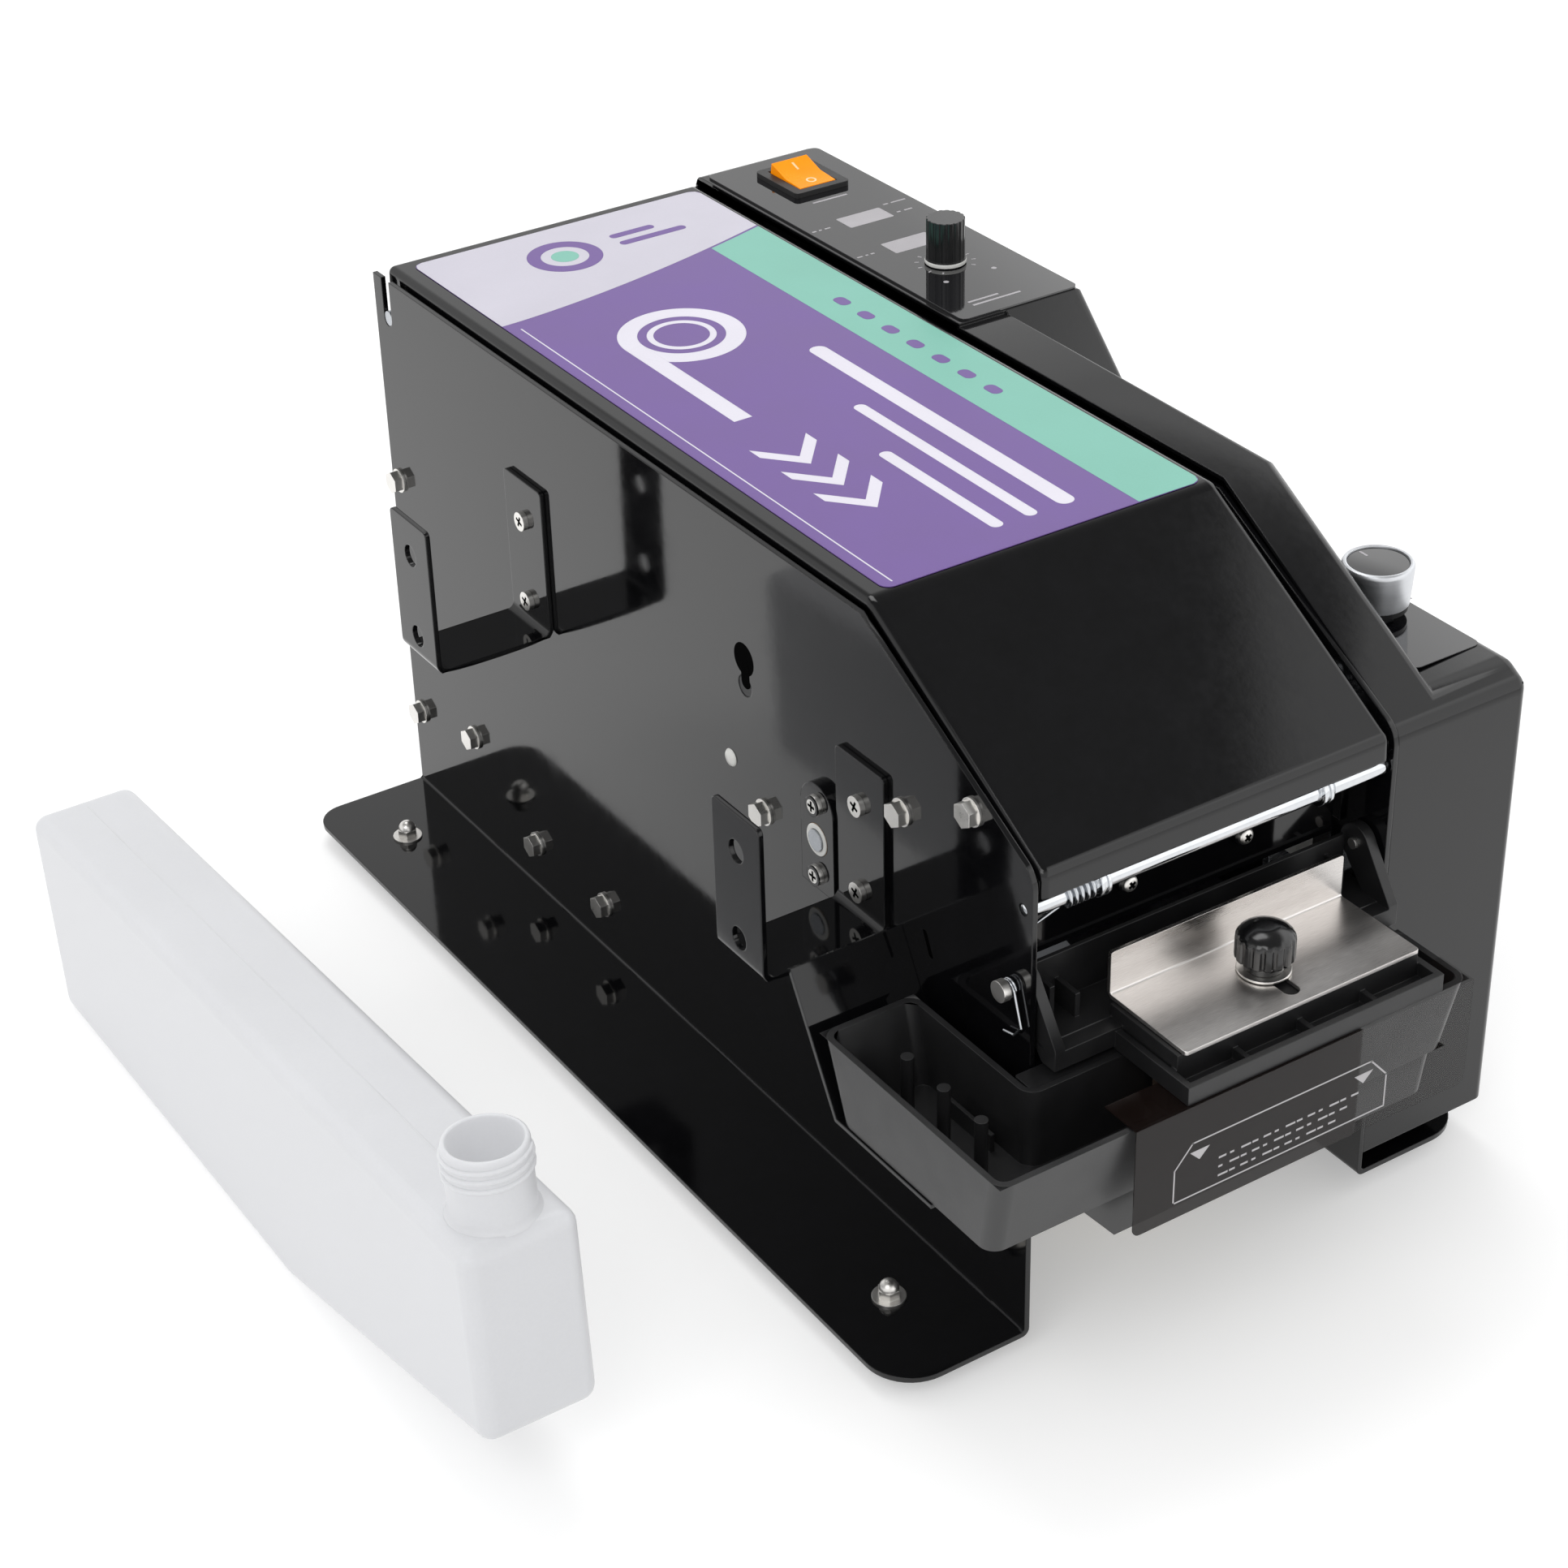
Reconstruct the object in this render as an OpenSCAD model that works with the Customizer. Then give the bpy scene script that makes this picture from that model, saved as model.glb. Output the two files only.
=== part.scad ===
// Gummed tape dispenser for a packing bench, with its water bottle standing beside it.
// Two sheet steel side plates carry the roll bay, the feed rollers and the cutter.
// A control box hangs on the right plate, and a water tray with a wetting brush sits in front.
// Places are measured from the left plate's outer face, its front edge and the floor,
// and seat() then moves every piece to the origin, the middle of the footprint.

/* [Side plates] */
// Length of a side plate, front to back
side_l = 430; // [405:1:520]
// Height of a side plate above its foot flange
side_h = 233; // [228:1:280]
// Height of a side plate's nose above its foot flange
nose_h = 182.6; // [180:0.1:186]
// Length of the slanted front, front to back
slant_l = 93; // [85:1:100]
// Clear width between the side plates
bay_w = 145; // [140:1:175]
// Width of a foot flange
flange_w = 52; // [50:1:56]
// Height of a rubber foot
foot_h = 8; // [7:0.5:10]

/* [Hood] */
// Gap between the hood and each side plate
hood_gap = 1.5; // [1:0.1:2]
// Height of the hood's top above the plates
hood_rise = 3.6; // [3:0.1:6]
// Height of the hood's front lip
hood_lip = 9; // [6:0.5:10]

/* [Control box] */
// Width of the whole control box
box_w = 58; // [52:1:70]
// Width of its tall part beside the hood
tower_w = 23; // [21:1:26]
// Length of the raised control panel
panel_l = 185; // [170:1:190]
// Diameter of the length knob
length_knob_d = 15; // [12:0.5:18]
// Diameter of the mode knob
mode_knob_d = 25; // [20:0.5:28]

/* [Tape feed] */
// Diameter of the feed roller
feed_d = 44; // [38:1:46]
// Diameter of the pressure roller
press_d = 20; // [16:1:24]
// Length of the feed and pressure rollers
roller_l = 100; // [80:1:110]
// Diameter of the rollers that the tape roll rests on
support_d = 22; // [18:1:26]
// Stroke of the cutter blade
cut_stroke = 14; // [12:0.5:16]

/* [Water tray and brush] */
// Width of the well outside the left plate
well_w = 37; // [34:0.5:38]
// Depth of the tray below its rim
tray_depth = 30; // [26:1:34]
// Height of the tray's rim above the floor
rim_z = 121; // [118:0.5:124]
// Width of the brush cover
cover_w = 106; // [100:1:112]
// Width of the steel plate on the cover
plate_w = 97; // [90:1:100]
// Diameter of the thumb knob
thumb_d = 22; // [18:1:26]

/* [Water bottle] */
// Thickness of the bottle
bottle_t = 41.6; // [38:0.2:44]
// Length of the bottle
bottle_l = 350; // [330:1:360]
// Diameter of the bottle's neck
neck_d = 28.5; // [24:0.5:30]

/* [Hidden] */
$fn = 48;
eps = 0.01;

// Sheet thicknesses and running clearances
side_t = 2;
sheet_t = 1.5;
fit = 0.1;
slack = 0.3;
// How far a cut runs past the face that it opens
over = 1;

// Screws: M5 for the frame, and M4 pan heads for what it carries
bolt_d = 5;
screw_d = 4;
pan_d = 7.5;
pan_h = 2.2;
screw_hole = screw_d + 2 * fit;
// How far a screw reaches beyond what it clamps
screw_end = 3;

// Heights above the floor
flange_z = foot_h;
plate_z0 = foot_h + side_t;
plate_z1 = plate_z0 + side_h;
nose_z = plate_z0 + nose_h;
hood_top = plate_z1 + hood_rise;
nose_step = 0.9;
hood_nose = nose_z - nose_step;
slant_a = atan2(hood_top - hood_nose, slant_l);

// Stations across the machine, from the left plate's outer face
bay_x0 = side_t;
bay_x1 = side_t + bay_w;
right_x = bay_x1 + side_t;
box_x1 = right_x + box_w;
tower_x = right_x + tower_w;
mid_x = side_t + bay_w / 2;
cover_shift = 5.5;
cover_x = mid_x + cover_shift;

// Tape feed: the feed shaft's height sets the tape's path
feed_y = 115.7;
feed_z = 146.2;
shaft_d = 8;
tape_gap = 0.3;
path_z = feed_z + feed_d / 2;
press_z = path_z + tape_gap + press_d / 2;
press_shaft_d = 6;
pivot_y = 163.4;
pivot_z = 182.5;
arm_t = 3;
arm_inset = 12;
arm_x = bay_x0 + arm_inset;
bush_d = 12;
bearing_hs = [-14, 14];
roller_x = mid_x - roller_l / 2;

// Frame bolts, [y, z] on both side plates
rear_bolts = [[side_l - 7, 155], [side_l - 7, 46.4]];
stop_bolts = [[side_l - 54.8, 57.2], [152.9, 136.9]];
axle_bolts = [[side_l - 103.4, 31], [side_l - 156.7, 31]];
tie_bolts = [[69.5, path_z + 12.2], [31.2, path_z + 32.2]];
frame_bolt_at = concat(rear_bolts, stop_bolts, axle_bolts, tie_bolts);

// Bottle brackets, [y of the middle, z of the strap's top] and their screws' heights
bracket_w = 28;
bracket_out = 50;
front_bracket = [91.5, 129];
rear_bracket = [side_l - 116, 140];
bracket_hs = [9.3, 43.3];
bracket_h = 62;

// Hood hinge
hinge_y = side_l - 9.9;
hinge_z = plate_z1 - 16.3;
hinge_d = 6;
hood_y1 = side_l - 5;
hood_x0 = bay_x0 + hood_gap;
hood_x1 = bay_x1 - hood_gap;

// Feet
foot_d = 20;
stud_d = 4;
foot_y = [40.5, side_l - 38];
foot_x = [-27, right_x + 27];

// Brush cover pivot and the outlet
cover_y = 9.9;
cover_z = 146.4;
outlet_y = 18;
rod_y = 5;
rod_z = path_z + 9.8;
rod_d = 6;
rod_end_d = 4;
pivot_bolt_d = 4;

// Tray outline
tray_x0 = -44.5;
well_x1 = tray_x0 + well_w;
tray_x1 = bay_x1 - 1;
tray_y0 = -44.5;
trough_y1 = -10;
well_y1 = 53;
tray_t = 2.2;
tray_draft = 6;
tray_z0 = rim_z - tray_depth;
sump_depth = 16;
sump_z = tray_z0 - sump_depth;

// Control box
box_ground = 10;
box_rise = 1.4;
shelf_rise = 5.3;
box_z0 = foot_h + box_ground;
box_top = hood_top + box_rise;
shelf_z = hood_nose + shelf_rise;
shelf_y0 = (shelf_z - hood_nose) / tan(slant_a);
panel_y0 = side_l - panel_l;
slope_l = box_top - shelf_z;
length_at = [right_x + 28.6, panel_y0 + 48.7];
rocker_at = [right_x + 30.5, panel_y0 + 151.3];
mode_at = [right_x + (tower_w + box_w) / 2, 58];

// Bottle
bottle_x = -187;
bottle_y = 33.3;
bottle_wall = 1.6;

// The footprint's middle becomes the origin
film_ahead = 2;
inlet_rim = 2;
origin_x = (bottle_x + box_x1) / 2;
origin_y = (tray_y0 - film_ahead + side_l + inlet_rim) / 2;

module seat() {
    translate([-origin_x, -origin_y, 0])
        children();
}

// A profile drawn in Y and Z, made t thick along X from x
module slab_x(x, t) {
    translate([x, 0, 0])
        rotate([90, 0, 90])
            linear_extrude(t)
                children();
}

// A profile drawn in X and Z, made t thick along Y from y
module slab_y(y, t) {
    translate([0, y + t, 0])
        rotate([90, 0, 0])
            linear_extrude(t)
                children();
}

module rod_x(x, y, z, d, l) {
    translate([x, y, z])
        rotate([0, 90, 0])
            cylinder(d = d, h = l);
}

module block(x0, x1, y0, y1, z0, z1) {
    translate([x0, y0, z0])
        cube([x1 - x0, y1 - y0, z1 - z0]);
}

module rounded_plate(w, l, t, r) {
    linear_extrude(t)
        rounded_2d(w, l, r);
}

module rounded_2d(w, l, r) {
    for (x = [r, w - r], y = [r, l - r])
        translate([x, y])
            circle(r);
    translate([r, 0])
        square([w - 2 * r, l]);
    translate([0, r])
        square([w, l - 2 * r]);
}

function arc(cx, cy, r, a0, a1, n) = [for (i = [0 : n]) [cx + r * cos(a0 + (a1 - a0) * i / n),
    cy + r * sin(a0 + (a1 - a0) * i / n)]];

// Side plates: a flat web with a slanted nose and an outward foot flange
nose_r = 10;
web_a = atan2(plate_z1 - nose_z, slant_l);
nose_tl = nose_r * tan((90 - web_a) / 2);

module web_outline() {
    polygon(concat([[0, flange_z], [side_l, flange_z], [side_l, plate_z1], [slant_l, plate_z1]],
        arc(nose_r, nose_z - nose_tl, nose_r, 90 + web_a, 180, 8)));
}

module web_holes() {
    for (p = frame_bolt_at)
        translate(p)
            circle(d = bolt_d + 4 * fit);
    translate([feed_y, feed_z])
        circle(d = bush_d + 2 * fit);
    for (h = bearing_hs)
        translate([feed_y, feed_z + h])
            circle(d = screw_hole);
    translate([pivot_y, pivot_z])
        circle(d = shaft_d + 2 * fit);
    translate([cover_y, cover_z])
        circle(d = pivot_bolt_d + 2 * fit);
    translate([hinge_y, hinge_z])
        circle(d = hinge_d + 2 * fit);
    translate([hinge_y - hinge_d / 2 - fit, hinge_z])
        square([hinge_d + 2 * fit, plate_z1 - hinge_z + over]);
    translate([rod_y, rod_z])
        circle(d = rod_end_d + 2 * fit);
}

module foot_flange() {
    rear_r = 12;
    front_r = 18;
    difference() {
        linear_extrude(side_t) {
            translate([0, front_r])
                square([flange_w, side_l - front_r - rear_r]);
            square([flange_w - front_r, side_l]);
            translate([flange_w - front_r, front_r])
                circle(front_r);
            translate([flange_w - front_r, side_l - rear_r])
                square([front_r - rear_r, rear_r]);
            translate([flange_w - rear_r, side_l - rear_r])
                circle(rear_r);
        }
        for (y = foot_y)
            translate([-foot_x[0], y, -over])
                cylinder(d = stud_d + 4 * fit, h = side_t + 2 * over);
    }
}

module left_side_plate() {
    color("#141416")
        seat() {
            slab_x(0, side_t)
                difference() {
                    web_outline();
                    web_holes();
                    for (b = [front_bracket, rear_bracket], h = bracket_hs)
                        translate([b[0], b[1] + h])
                            circle(d = screw_hole);
                }
            translate([0, 0, flange_z])
                mirror([1, 0, 0])
                    foot_flange();
        }
}

module right_side_plate() {
    color("#141416")
        seat() {
            slab_x(bay_x1, side_t)
                difference() {
                    web_outline();
                    web_holes();
                    translate([motor_y, motor_z])
                        circle(d = motor_boss_d + 2);
                    for (p = box_tabs)
                        translate(p)
                            circle(d = screw_hole);
                }
            translate([right_x, 0, flange_z])
                foot_flange();
        }
}

// Rear panel: a sheet between the plates, its side flanges bolted to them
module rear_panel() {
    top = hinge_z - 20;
    inset = 0.5;
    flange = 13.5;
    nut_d = 8.5;
    nut_l = 6;
    color("#17171a")
        seat()
            difference() {
                union() {
                    block(bay_x0, bay_x1, side_l - sheet_t - inset, side_l - inset, plate_z0, top);
                    for (x = [bay_x0, bay_x1 - sheet_t])
                        block(x, x + sheet_t, side_l - inset - flange, side_l - inset, plate_z0, top);
                    for (p = rear_bolts, x = [bay_x0, bay_x1 - nut_l])
                        rod_x(x, p[0], p[1], nut_d, nut_l);
                }
                for (p = rear_bolts)
                    rod_x(0, p[0], p[1], bolt_d + fit, right_x);
            }
}

// Roll basket: the folded sheet below the tape roll
module roll_basket() {
    y0 = 162;
    y1 = side_l - 18;
    flat_y0 = side_l - 185;
    flat_y1 = side_l - 75;
    low = 14;
    front_z = 118;
    rear_z = 40;
    flange = 8;
    front_a = atan2(front_z - low, flat_y0 - y0);
    rear_a = atan2(rear_z - low, y1 - flat_y1);
    color("#1c1c1f")
        seat() {
            slab_x(bay_x0, bay_w)
                polygon([[y0, front_z], [flat_y0, low], [flat_y1, low], [y1, rear_z],
                    [y1, rear_z + sheet_t / cos(rear_a)],
                    [flat_y1 - sheet_t * tan(rear_a / 2), low + sheet_t],
                    [flat_y0 + sheet_t * tan(front_a / 2), low + sheet_t],
                    [y0 + sheet_t / sin(front_a), front_z]]);
            for (x = [bay_x0, bay_x1 - sheet_t])
                block(x, x + sheet_t, flat_y0, flat_y1, low, low + flange);
        }
}

// Round bars across the bay, tapped at each end for the frame bolts
stop_d = 12;
tie_d = 10;
axle_d = 9;
tapped_l = 15;
module tapped_bar(y, z, d) {
    difference() {
        rod_x(bay_x0, y, z, d, bay_w);
        rod_x(bay_x0 - over, y, z, bolt_d + fit, tapped_l + over);
        rod_x(bay_x1 - tapped_l, y, z, bolt_d + fit, tapped_l + over);
    }
}

module roll_stop_bars() {
    color("silver")
        seat()
            for (p = stop_bolts)
                tapped_bar(p[0], p[1], stop_d);
}

module guide_tie_bars() {
    color("silver")
        seat()
            for (p = tie_bolts)
                tapped_bar(p[0], p[1], tie_d);
}

module support_axles() {
    color("silver")
        seat()
            for (p = axle_bolts)
                tapped_bar(p[0], p[1], axle_d);
}

// A hex bolt along X with a washer under its head
module hex_bolt(len) {
    washer_t = 1;
    head_h = 3.5;
    across_corners = 9.24;
    rotate([0, 90, 0]) {
        translate([0, 0, -washer_t])
            cylinder(d = 2 * bolt_d, h = washer_t);
        translate([0, 0, -washer_t - head_h])
            cylinder(d = across_corners, h = head_h, $fn = 6);
        cylinder(d = bolt_d - fit, h = len);
    }
}

module frame_bolts() {
    bolt_l = 12;
    color("#d8d8dc")
        seat() {
            for (p = frame_bolt_at) {
                translate([0, p[0], p[1]])
                    hex_bolt(bolt_l);
                translate([right_x, p[0], p[1]])
                    mirror([1, 0, 0])
                        hex_bolt(bolt_l);
            }
            for (p = box_tabs)
                translate([bay_x1, p[0], p[1]])
                    pan_screw(side_t + sheet_t + screw_end);
        }
}

// A pan head screw along +X, len long under its head
module pan_screw(len) {
    rotate([0, 90, 0]) {
        translate([0, 0, -pan_h])
            cylinder(d = pan_d, h = pan_h);
        cylinder(d = screw_d, h = len);
    }
}

module rubber_feet() {
    chamfer = 1;
    floor_t = 2;
    color("#202020")
        seat()
            for (x = foot_x, y = foot_y)
                translate([x, y, 0])
                    difference() {
                        union() {
                            cylinder(d1 = foot_d - 2 * chamfer, d2 = foot_d, h = chamfer);
                            translate([0, 0, chamfer])
                                cylinder(d = foot_d, h = foot_h - chamfer);
                        }
                        translate([0, 0, floor_t])
                            cylinder(d = stud_d + 2 * fit, h = foot_h);
                    }
}

// Acorn nuts with their studs, which hold the feet to the flanges
module foot_nuts() {
    stud_z = 3;
    washer_d = 12;
    washer_t = 0.8;
    across_corners = 8.1;
    nut_h = 3.2;
    dome_d = 7;
    color("#d8d8dc")
        seat()
            for (x = foot_x, y = foot_y)
                translate([x, y, 0]) {
                    translate([0, 0, stud_z])
                        cylinder(d = stud_d, h = plate_z0);
                    translate([0, 0, plate_z0])
                        cylinder(d = washer_d, h = washer_t);
                    translate([0, 0, plate_z0 + washer_t])
                        cylinder(d = across_corners, h = nut_h, $fn = 6);
                    translate([0, 0, plate_z0 + washer_t + nut_h])
                        intersection() {
                            sphere(d = dome_d);
                            cylinder(d = dome_d, h = dome_d);
                        }
                }
}

module support_roller(p) {
    end_gap = 2;
    difference() {
        rod_x(bay_x0 + end_gap, p[0], p[1], support_d, bay_w - 2 * end_gap);
        rod_x(bay_x0, p[0], p[1], axle_d + 2 * fit, bay_w);
    }
}

module front_support_roller() {
    color("#e6e6e2")
        seat()
            support_roller(axle_bolts[1]);
}

module rear_support_roller() {
    color("#e6e6e2")
        seat()
            support_roller(axle_bolts[0]);
}

// Hood: one folded sheet, with a lip at each end and side flanges
function slant_z(y) = hood_nose + y * tan(slant_a);
function under_z(y, d) = slant_z(y) - d / cos(slant_a);
function fold_y(d) = slant_l + (d / cos(slant_a) - d) / tan(slant_a);

module hood() {
    drop = 10;
    slant_drop = 3;
    ear_l = 14;
    ear_low = 6;
    color("#0f0f11")
        seat()
            difference() {
                union() {
                    slab_x(hood_x0, hood_x1 - hood_x0)
                        polygon([[hood_y1, hood_top - drop], [hood_y1, hood_top], [slant_l, hood_top],
                            [0, hood_nose], [0, hood_nose - hood_lip], [sheet_t, hood_nose - hood_lip],
                            [sheet_t, under_z(sheet_t, sheet_t)], [fold_y(sheet_t), hood_top - sheet_t],
                            [hood_y1 - sheet_t, hood_top - sheet_t], [hood_y1 - sheet_t, hood_top - drop]]);
                    for (x = [hood_x0, hood_x1 - sheet_t])
                        slab_x(x, sheet_t) {
                            polygon([[0, hood_nose - hood_lip], [0, hood_nose], [slant_l, hood_top],
                                [hood_y1, hood_top],
                                [hood_y1, hood_top - drop],
                                [slant_l + drop, hood_top - drop],
                                [slant_l, under_z(slant_l, slant_drop)],
                                [sheet_t, under_z(sheet_t, slant_drop)]]);
                            translate([hood_y1 - ear_l, hinge_z - ear_low])
                                square([ear_l, hood_top - hinge_z]);
                        }
                }
                rod_x(0, hinge_y, hinge_z, hinge_d, right_x);
            }
}

module hood_hinge_pins() {
    inset = 0.2;
    pin_l = hood_x0 + sheet_t + 3;
    color("silver")
        seat()
            for (x = [inset, right_x - inset - pin_l])
                rod_x(x, hinge_y, hinge_z, hinge_d, pin_l);
}

// Printed label on the flat of the hood
module hood_label() {
    left = 8;
    right = 4;
    front = 2;
    rear = 7;
    label_t = 0.3;
    corner_r = 4;
    color("#8c73af")
        seat()
            translate([hood_x0 + left, slant_l + front, hood_top])
                rounded_plate(hood_x1 - hood_x0 - left - right, hood_y1 - slant_l - front - rear,
                    label_t, corner_r);
}

// Rubber rings on the front tie bar, which the closed hood comes down on
module hood_bumpers() {
    bar = tie_bolts[1];
    ring_d = 2 * (under_z(bar[0], sheet_t) - bar[1]) * cos(slant_a) - 2 * slack;
    ring_l = 8;
    inset = 18;
    color("#202020")
        seat()
            for (x = [bay_x0 + inset, bay_x1 - inset - ring_l])
                difference() {
                    rod_x(x, bar[0], bar[1], ring_d, ring_l);
                    rod_x(x - over, bar[0], bar[1], tie_d, ring_l + 2 * over);
                }
}

// Feed shaft bearings: an arched plate outside each side plate and a flanged bush through both
bearing_t = 3;
bearing_r = 9.8;
module bearing_plate() {
    low = 20;
    high = 12;
    rotate([90, 0, 90])
        linear_extrude(bearing_t)
            difference() {
                union() {
                    translate([-bearing_r, -low])
                        square([2 * bearing_r, low + high]);
                    translate([0, high])
                        circle(bearing_r);
                }
                circle(d = bush_d + 2 * fit);
                for (h = bearing_hs)
                    translate([0, h])
                        circle(d = screw_hole);
            }
}

module bearing_plates() {
    color("#3a3a3e")
        seat()
            for (s = [0, 1])
                translate([s * right_x, feed_y, feed_z])
                    mirror([1 - s, 0, 0]) {
                        bearing_plate();
                        for (h = bearing_hs)
                            translate([bearing_t, 0, h])
                                mirror([1, 0, 0])
                                    pan_screw(bearing_t + side_t + screw_end);
                    }
}

module feed_bushes() {
    collar_d = 16;
    collar_t = 2;
    bush_l = bearing_t + side_t + collar_t;
    color("#b08d57")
        seat()
            for (x = [-bearing_t, bay_x1 - collar_t])
                difference() {
                    union() {
                        rod_x(x, feed_y, feed_z, bush_d, bush_l);
                        rod_x(x < 0 ? bay_x0 : x, feed_y, feed_z, collar_d, collar_t);
                    }
                    rod_x(x - over, feed_y, feed_z, shaft_d + fit, bush_l + 2 * over);
                }
}

module feed_roller() {
    grooves = 3;
    groove_w = 3;
    groove_depth = 1.5;
    color("#2c2c2e")
        seat()
            difference() {
                rod_x(roller_x, feed_y, feed_z, feed_d, roller_l);
                rod_x(roller_x - over, feed_y, feed_z, shaft_d, roller_l + 2 * over);
                for (k = [1 : grooves])
                    translate([roller_x + k * roller_l / (grooves + 1) - groove_w / 2, feed_y, feed_z])
                        difference() {
                            rod_x(0, 0, 0, feed_d + 2 * over, groove_w);
                            rod_x(-over, 0, 0, feed_d - 2 * groove_depth, groove_w + 2 * over);
                        }
            }
}

// Shafts end a little beyond what they carry
shaft_end = 2;
pulley_x = right_x + bearing_t + pan_h + slack + 1;
pulley_w = 10;
module feed_shaft() {
    x0 = -bearing_t - shaft_end / 2;
    collar_d = 15;
    collar_w = 5;
    color("silver")
        seat() {
            rod_x(x0, feed_y, feed_z, shaft_d, pulley_x + pulley_w + shaft_end - x0);
            for (x = [roller_x - collar_w, roller_x + roller_l])
                rod_x(x, feed_y, feed_z, collar_d, collar_w);
        }
}

// Two arms swing on a rod behind and press the upper roller down
module pressure_arms() {
    pivot_r = 9;
    nose_r = 8;
    tip = 6;
    color("#55555a")
        seat()
            for (x = [arm_x, bay_x1 - arm_inset - arm_t])
                difference() {
                    union() {
                        slab_x(x, arm_t)
                            polygon([[feed_y - tip, press_z - nose_r], [pivot_y, pivot_z - pivot_r],
                                [pivot_y + pivot_r / 2, pivot_z + pivot_r * cos(30)],
                                [feed_y - tip, press_z + nose_r]]);
                        rod_x(x, pivot_y, pivot_z, 2 * pivot_r, arm_t);
                        rod_x(x, feed_y, press_z, 2 * nose_r, arm_t);
                    }
                    rod_x(x - over, pivot_y, pivot_z, shaft_d + 2 * fit, arm_t + 2 * over);
                    rod_x(x - over, feed_y, press_z, press_shaft_d + 2 * fit, arm_t + 2 * over);
                }
}

module pressure_pivot_rod() {
    inset = 0.2;
    collar_d = 14;
    collar_w = 4;
    collar_x = arm_x + arm_t + slack;
    color("silver")
        seat() {
            rod_x(inset, pivot_y, pivot_z, shaft_d, right_x - 2 * inset);
            for (x = [collar_x, right_x - collar_x - collar_w])
                rod_x(x, pivot_y, pivot_z, collar_d, collar_w);
        }
}

module pressure_roller() {
    shaft_x = arm_x - 1;
    color("#2c2c2e")
        seat() {
            rod_x(roller_x, feed_y, press_z, press_d, roller_l);
            rod_x(shaft_x, feed_y, press_z, press_shaft_d, right_x - 2 * shaft_x);
        }
}

// Tape bed: lower guide behind the cutter, welded to both plates
bed_y0 = 48.5;
bed_y1 = feed_y - feed_d / 2 + 4;
bed_z = path_z - 1;
lip_inset = 8;
lip_h = 19;
module lower_guide() {
    flange_h = 15;
    rib_at = 44;
    rib_t = 2;
    rib_h = 3.5;
    color("#2a2a2d")
        seat() {
            block(bay_x0, bay_x1, bed_y0, bed_y1, bed_z - sheet_t, bed_z);
            block(bay_x0 + lip_inset, bay_x1 - lip_inset, bed_y0, bed_y0 + sheet_t, bed_z - lip_h, bed_z);
            for (x = [bay_x0, bay_x1 - sheet_t])
                block(x, x + sheet_t, bed_y0, bed_y1 - 2, bed_z - flange_h, bed_z);
            for (x = [mid_x - rib_at, mid_x + rib_at - rib_t])
                block(x, x + rib_t, bed_y0 + 4, bed_y1 - 4, bed_z, bed_z + rib_h);
        }
}

module upper_guide() {
    bar = tie_bolts[0];
    inset = 18;
    z0 = path_z + 3;
    y1 = feed_y - press_d / 2 - 8;
    lug_w = 6;
    lug_l = 16;
    lug_h = 17;
    color("#2a2a2d")
        seat()
            difference() {
                union() {
                    block(bay_x0 + inset, bay_x1 - inset, bed_y0 + 2, y1, z0, z0 + sheet_t);
                    for (x = [bay_x0 + inset, bay_x1 - inset - lug_w])
                        block(x, x + lug_w, bar[0] - lug_l / 2, bar[0] + lug_l / 2, z0, z0 + lug_h);
                }
                rod_x(0, bar[0], bar[1], tie_d + fit, right_x);
            }
}

// Outlet: a folded plate in front of the cutter, held by two screws, and the guide rod above it
module outlet_plate() {
    y1 = outlet_y + 17;
    flange_in = 3;
    screw_at = 24;
    screw_drop = 4.5;
    color("#1b1b1e")
        seat() {
            block(bay_x0 + lip_inset, bay_x1 - lip_inset, outlet_y, outlet_y + sheet_t, bed_z - lip_h, bed_z);
            block(bay_x0, bay_x1, outlet_y, y1, bed_z - sheet_t, bed_z);
            for (x = [bay_x0, bay_x1 - sheet_t])
                block(x, x + sheet_t, outlet_y + flange_in, y1, bed_z - lip_h, bed_z);
            for (x = [mid_x - screw_at, mid_x + screw_at])
                translate([x, outlet_y, bed_z - screw_drop])
                    rotate([90, 0, 0])
                        cylinder(d = pan_d, h = pan_h);
        }
}

// Two rings guide the tape's edges, and a closed coil of wire holds the left one
module outlet_rod() {
    end_gap = 0.3;
    rod_gap = 1;
    ring_d = 9;
    ring_w = 4;
    ring_inset = 25;
    wire_turns = 5;
    wire_pitch = 2.6;
    wire_w = 1.6;
    color("#e2e2e6")
        seat() {
            rod_x(bay_x0 + rod_gap, rod_y, rod_z, rod_d, bay_w - 2 * rod_gap);
            rod_x(end_gap, rod_y, rod_z, rod_end_d, right_x - 2 * end_gap);
            for (x = [bay_x0 + ring_inset, bay_x1 - ring_inset - ring_w])
                rod_x(x, rod_y, rod_z, ring_d, ring_w);
            for (k = [1 : wire_turns])
                rod_x(bay_x0 + ring_inset - k * wire_pitch, rod_y, rod_z, ring_d - slack, wire_w);
        }
}

// Cutter: a fixed lower blade, and a frame with the upper blade that the solenoid pulls down
blade_y = 44;
blade_gap = 0.2;
cutter_t = 3;
cutter_inset = 4;
yoke_z = path_z - 60;
cutter_top = path_z + 22;
module fixed_blade() {
    color("#c9ccd2")
        seat()
            block(bay_x0 + lip_inset, bay_x1 - lip_inset, blade_y + blade_gap, bed_y0, bed_z - lip_h, bed_z);
}

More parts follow.
